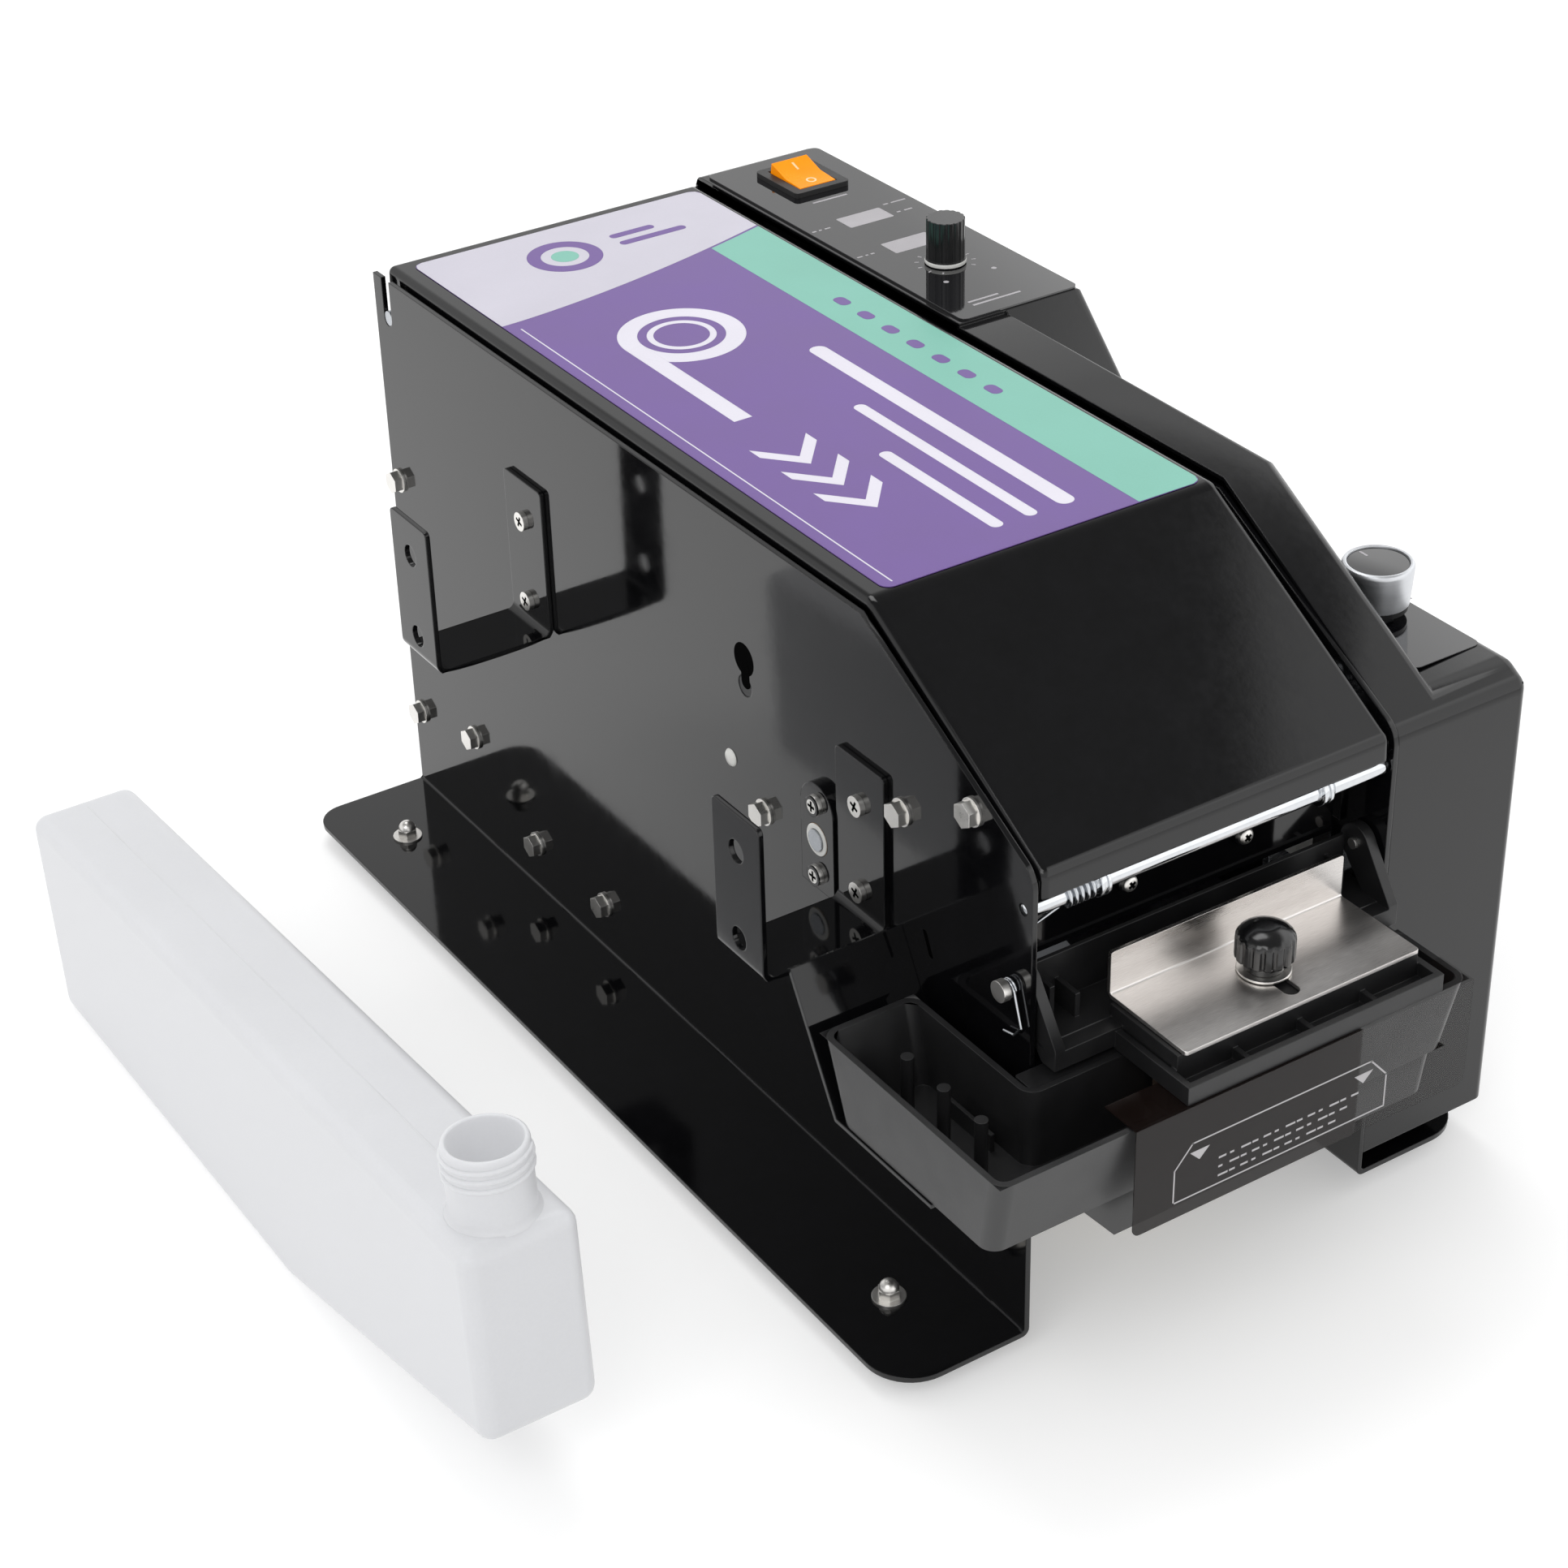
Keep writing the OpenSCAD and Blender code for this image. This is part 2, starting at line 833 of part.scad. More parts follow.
// The moving blade's edge slopes, so that it shears the tape from one side to the other
module cutter_frame() {
    x0 = bay_x0 + cutter_inset;
    x1 = bay_x1 - cutter_inset;
    leg_w = 10;
    yoke_h = 12;
    edge_left = 4;
    edge_right = 7;
    color("#c9ccd2")
        seat()
            slab_y(blade_y - cutter_t, cutter_t)
                difference() {
                    translate([x0, yoke_z])
                        square([x1 - x0, cutter_top - yoke_z]);
                    polygon([[x0 + leg_w, yoke_z + yoke_h], [x1 - leg_w, yoke_z + yoke_h],
                        [x1 - leg_w, path_z + edge_right], [x0 + leg_w, path_z + edge_left]]);
                }
}

module blade_guides() {
    guide_w = 7.5;
    guide_h = 12;
    ahead = 9;
    behind = 4;
    low = yoke_z + 20;
    high = path_z - 16;
    color("#e8e8e4")
        seat()
            difference() {
                for (x = [bay_x0, bay_x1 - guide_w], z = [low, high])
                    block(x, x + guide_w, blade_y - ahead, blade_y + behind, z, z + guide_h);
                block(bay_x0 + cutter_inset - slack, bay_x1 - cutter_inset + slack,
                    blade_y - cutter_t - slack,
                    blade_y + slack / 2, low - over, high + guide_h + over);
            }
}

solenoid_z = 34;
solenoid_h = 44;
plunger_d = 12;
solenoid_top = solenoid_z + solenoid_h;
sol_y = blade_y - cutter_t / 2;
module solenoid() {
    half_w = 20;
    half_l = 18;
    strap_l = 24;
    strap_t = 3;
    strap_z = solenoid_z + 20;
    floor_t = 6;
    color("#7d6a3a")
        seat()
            difference() {
                union() {
                    block(mid_x - half_w, mid_x + half_w, sol_y - half_l, sol_y + half_l,
                        solenoid_z, solenoid_top);
                    block(bay_x0, bay_x1, sol_y - strap_l / 2, sol_y + strap_l / 2,
                        strap_z, strap_z + strap_t);
                }
                translate([mid_x, sol_y, solenoid_z + floor_t])
                    cylinder(d = plunger_d + 2 * fit, h = solenoid_h);
            }
}

// The plunger's slotted head holds the cutter frame's yoke
module solenoid_plunger() {
    inside = 20;
    head_h = 8;
    color("silver")
        seat()
            translate([mid_x, sol_y, 0])
                difference() {
                    translate([0, 0, solenoid_top - inside])
                        cylinder(d = plunger_d, h = yoke_z + head_h - solenoid_top + inside);
                    translate([-plunger_d, -cutter_t / 2, yoke_z])
                        cube([2 * plunger_d, cutter_t, head_h + over]);
                }
}

// A wire of diameter d wound into turns of radius r, h high between the wire's centres
module coil(r, d, h, turns) {
    around = 6;
    turn_steps = 14;
    steps = turn_steps * turns;
    points = [for (i = [0 : steps], k = [0 : around - 1])
        let (a = 360 * turns * i / steps, b = 360 * k / around, out = r + d / 2 * cos(b))
            [out * cos(a), out * sin(a), h * i / steps + d / 2 * sin(b)]];
    sides = [for (i = [0 : steps - 1], k = [0 : around - 1])
        let (n = (k + 1) % around)
            [i * around + k, (i + 1) * around + k, (i + 1) * around + n, i * around + n]];
    ends = [[for (k = [0 : around - 1]) k], [for (k = [around - 1 : -1 : 0]) steps * around + k]];
    polyhedron(points, concat(sides, ends));
}

module return_spring() {
    wire = 1.4;
    coil_r = 8.4;
    turns = 6;
    seat_gap = 0.1;
    color("#b9bcc2")
        seat()
            translate([mid_x, sol_y, solenoid_top + wire / 2 + seat_gap])
                coil(coil_r, wire, yoke_z - solenoid_top - wire - seat_gap - slack, turns);
}

// Drive: geared motor on the right plate, belt and pulleys inside the control box
motor_y = 95;
motor_z = 62;
motor_boss_d = 20;
motor_pulley_d = 20;
feed_pulley_d = 32;
module gear_motor() {
    gear_w = 22;
    gear_half = 29;
    can_d = 50;
    can_l = 42;
    color("#8f9398")
        seat() {
            rod_x(bay_x1 - gear_w - can_l, motor_y, motor_z, can_d, can_l);
            block(bay_x1 - gear_w, bay_x1, motor_y - gear_half, motor_y + gear_half, motor_z - gear_half,
                motor_z + gear_half);
            rod_x(bay_x1, motor_y, motor_z, motor_boss_d, side_t);
        }
}

pulley_rim = 2.5;
pulley_rim_w = 1;
module pulley(d) {
    difference() {
        union() {
            cylinder(d = d, h = pulley_w);
            for (z = [0, pulley_w - pulley_rim_w])
                translate([0, 0, z])
                    cylinder(d = d + 2 * pulley_rim, h = pulley_rim_w);
        }
        translate([0, 0, -over])
            cylinder(d = shaft_d - eps, h = pulley_w + 2 * over);
    }
}

// The motor's pulley turns with its output shaft
module motor_pulley() {
    color("#e8e8e4")
        seat() {
            translate([pulley_x, motor_y, motor_z])
                rotate([0, 90, 0])
                    pulley(motor_pulley_d);
            rod_x(right_x + slack, motor_y, motor_z, shaft_d,
                pulley_x + pulley_w + shaft_end - right_x - slack);
        }
}

module feed_pulley() {
    color("#e8e8e4")
        seat()
            translate([pulley_x, feed_y, feed_z])
                rotate([0, 90, 0])
                    pulley(feed_pulley_d);
}

module belt_outline(grow) {
    gap_y = feed_y - motor_y;
    gap_z = feed_z - motor_z;
    span = sqrt(gap_y * gap_y + gap_z * gap_z);
    r0 = motor_pulley_d / 2 + slack + grow;
    r1 = feed_pulley_d / 2 + slack + grow;
    lean = asin((r1 - r0) / span);
    translate([motor_y, motor_z])
        rotate(atan2(gap_z, gap_y))
            polygon(concat(arc(0, 0, r0, 90 + lean, 270 - lean, 20),
                arc(span, 0, r1, lean - 90, 90 + lean, 24)));
}

module drive_belt() {
    belt_t = 1.5;
    color("#1a1a1a")
        seat()
            slab_x(pulley_x + pulley_rim_w + slack, pulley_w - 2 * pulley_rim_w - 2 * slack)
                difference() {
                    belt_outline(belt_t);
                    belt_outline(0);
                }
}

// Control box: a tall narrow part beside the hood and a lower wide part that carries the knobs
module low_profile(i) {
    polygon([[i, box_z0 + i], [side_l - i, box_z0 + i], [side_l - i, box_top - i],
        [panel_y0 + i * tan(22.5), box_top - i], [panel_y0 - slope_l + i * tan(22.5), shelf_z - i],
        [shelf_y0 + i, shelf_z - i], [i, under_z(i, i)]]);
}

module tower_profile(i) {
    polygon([[i, box_z0 + i], [side_l - i, box_z0 + i], [side_l - i, hood_top - i],
        [fold_y(i), hood_top - i], [shelf_y0, under_z(shelf_y0, i)], [i, under_z(i, i)]]);
}

tab_l = 28;
tab_r = 8.5;
box_tabs = [[side_l - tab_l, 75], [side_l - tab_l, 195], [tab_l, 60], [tab_l, 120]];
inlet_x = right_x + 28;
inlet_z = 52;
inlet_w = 28;
inlet_h = 20;

// Cut-outs in a panel's top face at z, for the rocker's body and the bush of a control
cut_deep = 5;
rocker_w = 21.6;
rocker_l = 27.6;
length_bush_d = 7;
mode_bush_d = 9;
module rocker_cut(z) {
    translate([rocker_at[0] - rocker_w / 2 - fit, rocker_at[1] - rocker_l / 2 - fit, z - cut_deep])
        cube([rocker_w + 2 * fit, rocker_l + 2 * fit, 2 * cut_deep]);
}

module control_hole(at, z, d) {
    translate([at[0], at[1], z - cut_deep])
        cylinder(d = d + 4 * fit, h = 2 * cut_deep);
}

module control_box() {
    color("#101012")
        seat() {
            difference() {
                union() {
                    slab_x(tower_x - sheet_t, box_w - tower_w + sheet_t)
                        low_profile(0);
                    slab_x(right_x, tower_w)
                        tower_profile(0);
                    block(right_x, box_x1, panel_y0, side_l, shelf_z, box_top);
                }
                slab_x(tower_x - sheet_t - over, box_w - tower_w + over)
                    low_profile(sheet_t);
                slab_x(right_x - over, tower_w - sheet_t + over)
                    tower_profile(sheet_t);
                block(right_x - over, box_x1 - sheet_t, panel_y0 + sheet_t, side_l - sheet_t, shelf_z,
                    box_top - sheet_t);
                rocker_cut(box_top);
                control_hole(length_at, box_top, length_bush_d);
                control_hole(mode_at, shelf_z, mode_bush_d);
                block(inlet_x - inlet_w / 2, inlet_x + inlet_w / 2, side_l - 5, side_l + 5, inlet_z - inlet_h / 2,
                    inlet_z + inlet_h / 2);
            }
            for (p = box_tabs)
                difference() {
                    block(right_x, right_x + sheet_t, p[0] > tab_l ? p[0] - tab_r : sheet_t / 2,
                        p[0] > tab_l ? side_l - sheet_t / 2 : p[0] + tab_r, p[1] - tab_r, p[1] + tab_r);
                    rod_x(right_x - over, p[0], p[1], screw_hole, sheet_t + 2 * over);
                }
        }
}

overlay_t = 0.8;
module control_panel() {
    margin = 2;
    front = 0.5;
    rear = 5.5;
    corner_r = 3;
    color("#3b3c42")
        seat()
            difference() {
                translate([right_x + margin, panel_y0 + front, box_top])
                    rounded_plate(box_w - 2 * margin, panel_l - front - rear, overlay_t, corner_r);
                rocker_cut(box_top);
                control_hole(length_at, box_top, length_bush_d);
            }
}

// Rocker switch: a bezel with its housing, and a bowed button on a cross axis, in the on position
rocker_z = box_top + overlay_t;
rocker_open = [18, 24];
module rocker_pins(play) {
    pin_d = 3;
    pin_end = 1.2;
    reach = rocker_open[0] / 2 + pin_end + play;
    rod_x(-reach, 0, 0, pin_d + 2 * play, 2 * reach);
}

module rocker_bezel() {
    bezel = [26, 31];
    bezel_t = 2.2;
    bezel_r = 2;
    housing_h = 22;
    well = 9;
    pin_play = 0.05;
    color("#151515")
        seat()
            translate([rocker_at[0], rocker_at[1], rocker_z])
                difference() {
                    union() {
                        translate([-bezel[0] / 2, -bezel[1] / 2, 0])
                            rounded_plate(bezel[0], bezel[1], bezel_t, bezel_r);
                        translate([-rocker_w / 2, -rocker_l / 2, -housing_h])
                            cube([rocker_w, rocker_l, housing_h]);
                    }
                    translate([-rocker_open[0] / 2, -rocker_open[1] / 2, -well])
                        cube([rocker_open[0], rocker_open[1], 2 * well]);
                    rocker_pins(pin_play);
                }
}

rocker_tilt = 11;
module power_rocker() {
    side_gap = 0.4;
    half_l = 10.8;
    waist = 3;
    keel = 7;
    end_h = 4.4;
    w = rocker_open[0] - 2 * side_gap;
    color("#ff7a1a")
        seat()
            translate([rocker_at[0], rocker_at[1], rocker_z])
                rotate([rocker_tilt, 0, 0]) {
                    slab_x(-w / 2, w)
                        polygon([[-half_l, -waist], [0, -keel], [half_l, -waist],
                            [half_l, end_h], [0, waist], [-half_l, end_h]]);
                    rocker_pins(0);
                }
}

// A rotary control under a panel's top face: its can, and a bush with a nut that clamps the panel
stem_d = 6;
module rotary_control(at, top, can_d, can_h, bush_d, bush_h, nut_z, nut_d) {
    floor_t = 0.2;
    nut_h = 2;
    inside = top - sheet_t;
    translate([at[0], at[1], 0])
        difference() {
            union() {
                translate([0, 0, inside - can_h])
                    cylinder(d = can_d, h = can_h);
                translate([0, 0, inside])
                    cylinder(d = bush_d, h = bush_h);
                translate([0, 0, nut_z])
                    cylinder(d = nut_d, h = nut_h, $fn = 6);
            }
            translate([0, 0, inside + floor_t])
                cylinder(d = stem_d + 2 * fit, h = bush_h + nut_h);
        }
}

module length_control() {
    can_d = 24;
    can_h = 12;
    nut_d = 11.5;
    color("#6a6d72")
        seat()
            rotary_control(length_at, box_top, can_d, can_h, length_bush_d, sheet_t + overlay_t,
                rocker_z, nut_d);
}

module fluted(d, n, depth) {
    difference() {
        circle(d = d);
        for (k = [0 : n - 1])
            rotate(360 * k / n)
                translate([d / 2 + depth, 0])
                    circle(d = 4 * depth, $fn = 24);
    }
}

// A knob's stem, and the hollow round it that clears the nut
module knob_stem(top) {
    stem_gap = 0.5;
    stem_l = 9;
    translate([0, 0, top - sheet_t + stem_gap])
        cylinder(d = stem_d, h = stem_l);
}

module knob_hollow(z, d, h) {
    translate([0, 0, z - over])
        difference() {
            cylinder(d = d, h = h + over);
            cylinder(d = stem_d, h = h + 2 * over);
        }
}

module length_knob() {
    skirt_z = rocker_z + slack;
    skirt_h = 2;
    skirt_out = 0.5;
    grip_h = 16;
    flutes = 18;
    flute_depth = 0.4;
    wall = 0.7;
    hollow_h = 2.6;
    color("#121212")
        seat()
            translate([length_at[0], length_at[1], 0])
                difference() {
                    union() {
                        translate([0, 0, skirt_z])
                            cylinder(d = length_knob_d + 2 * skirt_out, h = skirt_h);
                        translate([0, 0, skirt_z + skirt_h])
                            linear_extrude(grip_h)
                                fluted(length_knob_d, flutes, flute_depth);
                        knob_stem(box_top);
                    }
                    knob_hollow(skirt_z, length_knob_d - 2 * wall, hollow_h);
                }
}

mode_overlay_t = 0.4;
module mode_panel() {
    left = 2;
    right = 3;
    front = 12;
    rear = 10;
    corner_r = 3;
    color("#3b3c42")
        seat()
            difference() {
                translate([tower_x + left, shelf_y0 + front, shelf_z])
                    rounded_plate(box_w - tower_w - left - right, panel_y0 - slope_l - shelf_y0 - front - rear,
                        mode_overlay_t, corner_r);
                control_hole(mode_at, shelf_z, mode_bush_d);
            }
}

module mode_switch() {
    can_d = 26;
    can_h = 16;
    bush_h = 5.5;
    nut_d = 14;
    color("#6a6d72")
        seat()
            rotary_control(mode_at, shelf_z, can_d, can_h, mode_bush_d, bush_h,
                shelf_z + mode_overlay_t, nut_d);
}

module mode_knob() {
    base_z = shelf_z + 3;
    base_h = 2;
    base_in = 2;
    body_h = 14;
    taper = 1;
    rim_h = 1.4;
    hollow_d = 17;
    hollow_h = 4;
    color("#c4c7cc")
        seat()
            translate([mode_at[0], mode_at[1], 0])
                difference() {
                    union() {
                        translate([0, 0, base_z])
                            cylinder(d = mode_knob_d - 2 * base_in, h = base_h);
                        translate([0, 0, base_z + base_h])
                            cylinder(d1 = mode_knob_d - 2 * taper, d2 = mode_knob_d, h = body_h);
                        translate([0, 0, base_z + base_h + body_h])
                            cylinder(d1 = mode_knob_d, d2 = mode_knob_d - 2 * taper, h = rim_h);
                        knob_stem(shelf_z);
                    }
                    knob_hollow(base_z, hollow_d, hollow_h);
                }
}

// Electronics: a board on pillars with its transformer, relays and terminal block
module control_board() {
    board_t = 1.6;
    pillar_d = 6;
    pillar_l = 6.4;
    pillar_in = 6;
    board_x = box_x1 - sheet_t - pillar_l - board_t;
    y0 = 190;
    y1 = 330;
    z0 = 60;
    z1 = 150;
    transformer = [30, 50, 40];
    relay = [16, 20, 20];
    relay_ys = [200, 226];
    terminals = [10, 60, 10];
    capacitor_d = 14;
    capacitor_l = 18;
    color("#2f6b3f")
        seat() {
            block(board_x, board_x + board_t, y0, y1, z0, z1);
            for (y = [y0 + pillar_in, y1 - pillar_in], z = [z0 + pillar_in, z1 - pillar_in])
                rod_x(board_x + board_t, y, z, pillar_d, pillar_l);
            translate([board_x - transformer[0], y1 - transformer[1] - 10, z0 + 10])
                cube(transformer);
            for (y = relay_ys)
                translate([board_x - relay[0], y, z0 + 10])
                    cube(relay);
            translate([board_x - terminals[0], y0 + 10, z1 - 20])
                cube(terminals);
            rod_x(board_x - capacitor_l, y0 + 50, z0 + 52, capacitor_d, capacitor_l);
        }
}

// A box centred on the inlet, with half sizes w and h
module inlet_block(w, h, y0, y1) {
    block(inlet_x - w, inlet_x + w, y0, y1, inlet_z - h, inlet_z + h);
}

module power_inlet() {
    body_l = 22;
    rim_out = 3;
    socket_deep = 14;
    socket_w = 23;
    socket_h = 15;
    color("#151515")
        seat()
            difference() {
                union() {
                    inlet_block(inlet_w / 2 - slack, inlet_h / 2 - slack, side_l - body_l, side_l);
                    inlet_block(inlet_w / 2 + rim_out, inlet_h / 2 + 2, side_l, side_l + inlet_rim);
                }
                inlet_block(socket_w / 2, socket_h / 2, side_l - socket_deep, side_l + inlet_rim + over);
            }
}

// Bottle brackets: a U of strip steel on the left plate, with access holes in the outer leg
module bottle_bracket(at) {
    y0 = at[0] - bracket_w / 2;
    z0 = at[1] - side_t;
    outer_drop = 2;
    access_d = 8.5;
    difference() {
        union() {
            block(-side_t, 0, y0, y0 + bracket_w, z0, z0 + bracket_h);
            block(-bracket_out, 0, y0, y0 + bracket_w, z0, z0 + side_t);
            block(-bracket_out, -bracket_out + side_t, y0, y0 + bracket_w, z0, z0 + bracket_h - outer_drop);
        }
        for (h = bracket_hs) {
            rod_x(-side_t - over, at[0], at[1] + h, screw_hole, side_t + 2 * over);
            rod_x(-bracket_out - over, at[0], at[1] + h, access_d, side_t + 2 * over);
        }
    }
}

module bottle_brackets() {
    color("#141416")
        seat() {
            bottle_bracket(front_bracket);
            bottle_bracket(rear_bracket);
        }
}

module bracket_screws() {
    color("#d8d8dc")
        seat()
            for (b = [front_bracket, rear_bracket], h = bracket_hs)
                translate([-side_t, b[0], b[1] + h])
                    pan_screw(2 * side_t + screw_end);
}

// Tray shelf: a bracket under the well outside the plate and a ledge between the plates
shelf_top = tray_z0 - slack;
module tray_shelf() {
    out = 44;
    front_y = -8;
    bend_y = 45;
    back_y = 70.3;
    back_z = rim_z + 15;
    back_t = 1.7;
    flange_h = 14;
    ledge_y0 = -23;
    ledge_y1 = 6;
    color("#141416")
        seat() {
            slab_x(-out, out)
                polygon([[front_y, shelf_top - sheet_t], [bend_y + 1, shelf_top - sheet_t],
                    [back_y + back_t, back_z - back_t / 2], [back_y, back_z], [bend_y, shelf_top],
                    [front_y, shelf_top]]);
            block(-sheet_t, 0, 4, 58, shelf_top - flange_h, shelf_top);
            block(bay_x0, bay_x1, ledge_y0, ledge_y1, shelf_top - sheet_t, shelf_top);
            for (x = [bay_x0, bay_x1 - sheet_t])
                block(x, x + sheet_t, 0, ledge_y1 + 10, shelf_top - sheet_t, shelf_top + flange_h);
        }
}

// A box that narrows towards its floor by d on each side named in out = [left, right, front, rear]
module drafted(x0, x1, y0, y1, z0, z1, out) {
    hull() {
        block(x0, x1, y0, y1, z1 - eps, z1);
        block(x0 + out[0], x1 - out[1], y0 + out[2], y1 - out[3], z0, z0 + eps);
    }
}

// The tray's outside where i is 0, and its inside where i is the wall's thickness
module tray_shape(i) {
    top = rim_z + (i > 0 ? over : 0);
    rear_draft = 9;
    side_draft = 1;
    end_draft = 2;
    sump_x0 = -8;
    sump_x1 = tray_x1 - 6;
    sump_y1 = trough_y1 - 15;
    sump_ramp = 14;
    drafted(tray_x0 + i, well_x1 - i, tray_y0 + i, well_y1 - i, tray_z0 + i, top,
        [side_draft, side_draft, tray_draft, rear_draft]);
    drafted(tray_x0 + i, tray_x1 - i, tray_y0 + i, trough_y1 - i, tray_z0 + i, top,
        [side_draft, end_draft, tray_draft, end_draft]);
    drafted(sump_x0 + i, sump_x1 - i, tray_y0 + tray_draft + i, sump_y1 - i, sump_z + i, tray_z0 + over + i,
        [sump_ramp, end_draft, side_draft, side_draft]);
}

// Pins in the well hold the bottle's neck up, and two ribs stiffen its floor
pin_x = -25.5;
pin_y = [-9, 11, 31];
pin_d = 4.5;
module water_tray() {
    pin_drop = 4;
    rib_x = [-36, -15];
    rib_l = 24;
    rib_t = 1.5;
    rib_h = 9;
    color("#2b2b2c")
        seat() {
            difference() {
                tray_shape(0);
                tray_shape(tray_t);
            }
            for (y = pin_y)
                translate([pin_x, y, tray_z0 + over])
                    cylinder(d = pin_d, h = tray_depth - pin_drop - over);
            for (x = rib_x)
                block(x, x + rib_t, 0, rib_l, tray_z0 + over, tray_z0 + rib_h);
        }
}

// Wetting brush: a holder standing in the trough, with two rows of bristle
module wetting_brush() {
    holder_w = 92;
    holder_z1 = tray_z0 + 10;
    row_w = 84;
    row_t = 8;
    row_y = [-33, -19];
    below_rim = 0.4;
    color("#3a2f28")
        seat() {
            block(cover_x - holder_w / 2, cover_x + holder_w / 2, tray_y0 + tray_draft + 4, trough_y1 - 6,
                tray_z0 + tray_t, holder_z1);
            for (y = row_y)
                block(cover_x - row_w / 2, cover_x + row_w / 2, y - row_t / 2, y + row_t / 2, holder_z1,
                    rim_z - below_rim);
        }
}

// Brush cover: a ribbed frame above the trough, carried by two arms on the front pivot
cover_low = rim_z + 0.7;
cover_top = rim_z + 15;
cover_y0 = tray_y0 - 1;
deck_y0 = -36;
knob_screw_d = 5;
module brush_cover() {
    x0 = cover_x - cover_w / 2;
    x1 = cover_x + cover_w / 2;
    rail_y0 = -9;
    rail_y1 = -2;
    wall = 2.5;
    floor_t = 2;
    skirt_z = cover_low + 7;
    deck_z = cover_top - 1.8;
    deck_t = 2.2;
    deck_in = 3;
    ribs = 3;
    rib_t = 2;
    boss_w = 14;
    arm_w = 4;
    arm_r = 7;
    arm_gap = 1;
    hollow_z = cover_low - over;
    color("#161617")
        seat()
            difference() {
                union() {
                    difference() {
                        block(x0, x1, cover_y0, rail_y1, cover_low, skirt_z);
                        block(x0 + wall, x1 - wall, cover_y0 + wall, deck_y0,
                            cover_low + floor_t, skirt_z + over);
                        block(x0 + wall, x1 - wall, deck_y0 + wall, rail_y0, hollow_z, skirt_z + over);
                    }
                    for (k = [1 : ribs])
                        translate([x0 + k * cover_w / (ribs + 1), 0, 0])
                            block(-rib_t / 2, rib_t / 2, cover_y0, deck_y0, cover_low, skirt_z - rib_t / 2);
                    difference() {
                        block(x0 + deck_in, x1 - deck_in, deck_y0, rail_y1, skirt_z - deck_t, deck_z);
                        block(x0 + 2 * deck_in, x1 - 2 * deck_in, deck_y0 + wall, rail_y0,
                            hollow_z, deck_z - deck_t);
                    }
                    block(cover_x - boss_w / 2, cover_x + boss_w / 2, deck_y0, rail_y1,
                        cover_low + floor_t, deck_z);
                    block(bay_x0 + arm_gap, bay_x1 - arm_gap, rail_y0, rail_y1, cover_low + 1, skirt_z + 1);
                    for (x = [bay_x0 + arm_gap, bay_x1 - arm_gap - arm_w])
                        slab_x(x, arm_w) {
                            polygon([[rail_y0, cover_low + 1], [rail_y1, cover_low + 1],
                                [cover_y + arm_r * cos(25), cover_z - arm_r * sin(25)],
                                [cover_y - arm_r * cos(25), cover_z + arm_r * sin(25)], [rail_y0, skirt_z + 2]]);
                            translate([cover_y, cover_z])
                                circle(arm_r);
                        }
                }
                rod_x(0, cover_y, cover_z, pivot_bolt_d + 2 * fit, right_x);
                translate([cover_x, knob_y, cover_low])
                    cylinder(d = knob_screw_d + 2 * fit, h = cover_top - cover_low);
            }
}

// Wire spring on the left pivot bolt: a coil outside the plate and a hooked leg to its front edge
spring_w = 2.4;
spring_gap = 0.2;
module cover_spring() {
    wire = 1;
    coil_in = pivot_bolt_d + 4 * fit;
    coil_out = coil_in + 2.2 * wire;
    leg_l = 14;
    leg_a = 162;
    color("#c9ccd2")
        seat() {
            difference() {
                rod_x(-spring_gap - spring_w, cover_y, cover_z, coil_out, spring_w);
                rod_x(-spring_gap - spring_w - over, cover_y, cover_z, coil_in, spring_w + 2 * over);
            }
            translate([-spring_gap - spring_w / 2, cover_y - (coil_in + coil_out) / 4, cover_z])
                rotate([leg_a, 0, 0])
                    cylinder(d = wire, h = leg_l);
        }
}

module cover_pivot_bolts() {
    head_h = 2.8;
    neck = spring_w + 2 * spring_gap;
    inside = side_t + 6;
    color("#d8d8dc")
        seat()
            for (s = [0, 1])
                translate([s * right_x, cover_y, cover_z])
                    mirror([s, 0, 0]) {
                        rod_x(-neck - head_h, 0, 0, pan_d, head_h);
                        rod_x(-neck, 0, 0, pivot_bolt_d, neck + inside);
                    }
}

// Steel plate: brushed sheet with an upturned rear edge and a slot for the thumb knob
plate_y0 = -38;
plate_y1 = 1.5;
plate_top = cover_top;
slot_w = 6;
slot_l = 13;
knob_y = -17.8;
module steel_plate() {
    x0 = cover_x - plate_w / 2;
    upstand = 16;
    color("#c8c4be")
        seat()
            difference() {
                union() {
                    block(x0, x0 + plate_w, plate_y0, plate_y1, plate_top - sheet_t, plate_top);
                    block(x0, x0 + plate_w, plate_y1 - sheet_t, plate_y1,
                        plate_top - sheet_t, plate_top + upstand);
                }
                translate([cover_x, knob_y, plate_top - sheet_t - over]) {
                    cylinder(d = slot_w, h = sheet_t + 2 * over);
                    translate([0, -slot_l, 0])
                        cylinder(d = slot_w, h = sheet_t + 2 * over);
                    translate([-slot_w / 2, -slot_l, 0])
                        cube([slot_w, slot_l, sheet_t + 2 * over]);
                }
            }
}

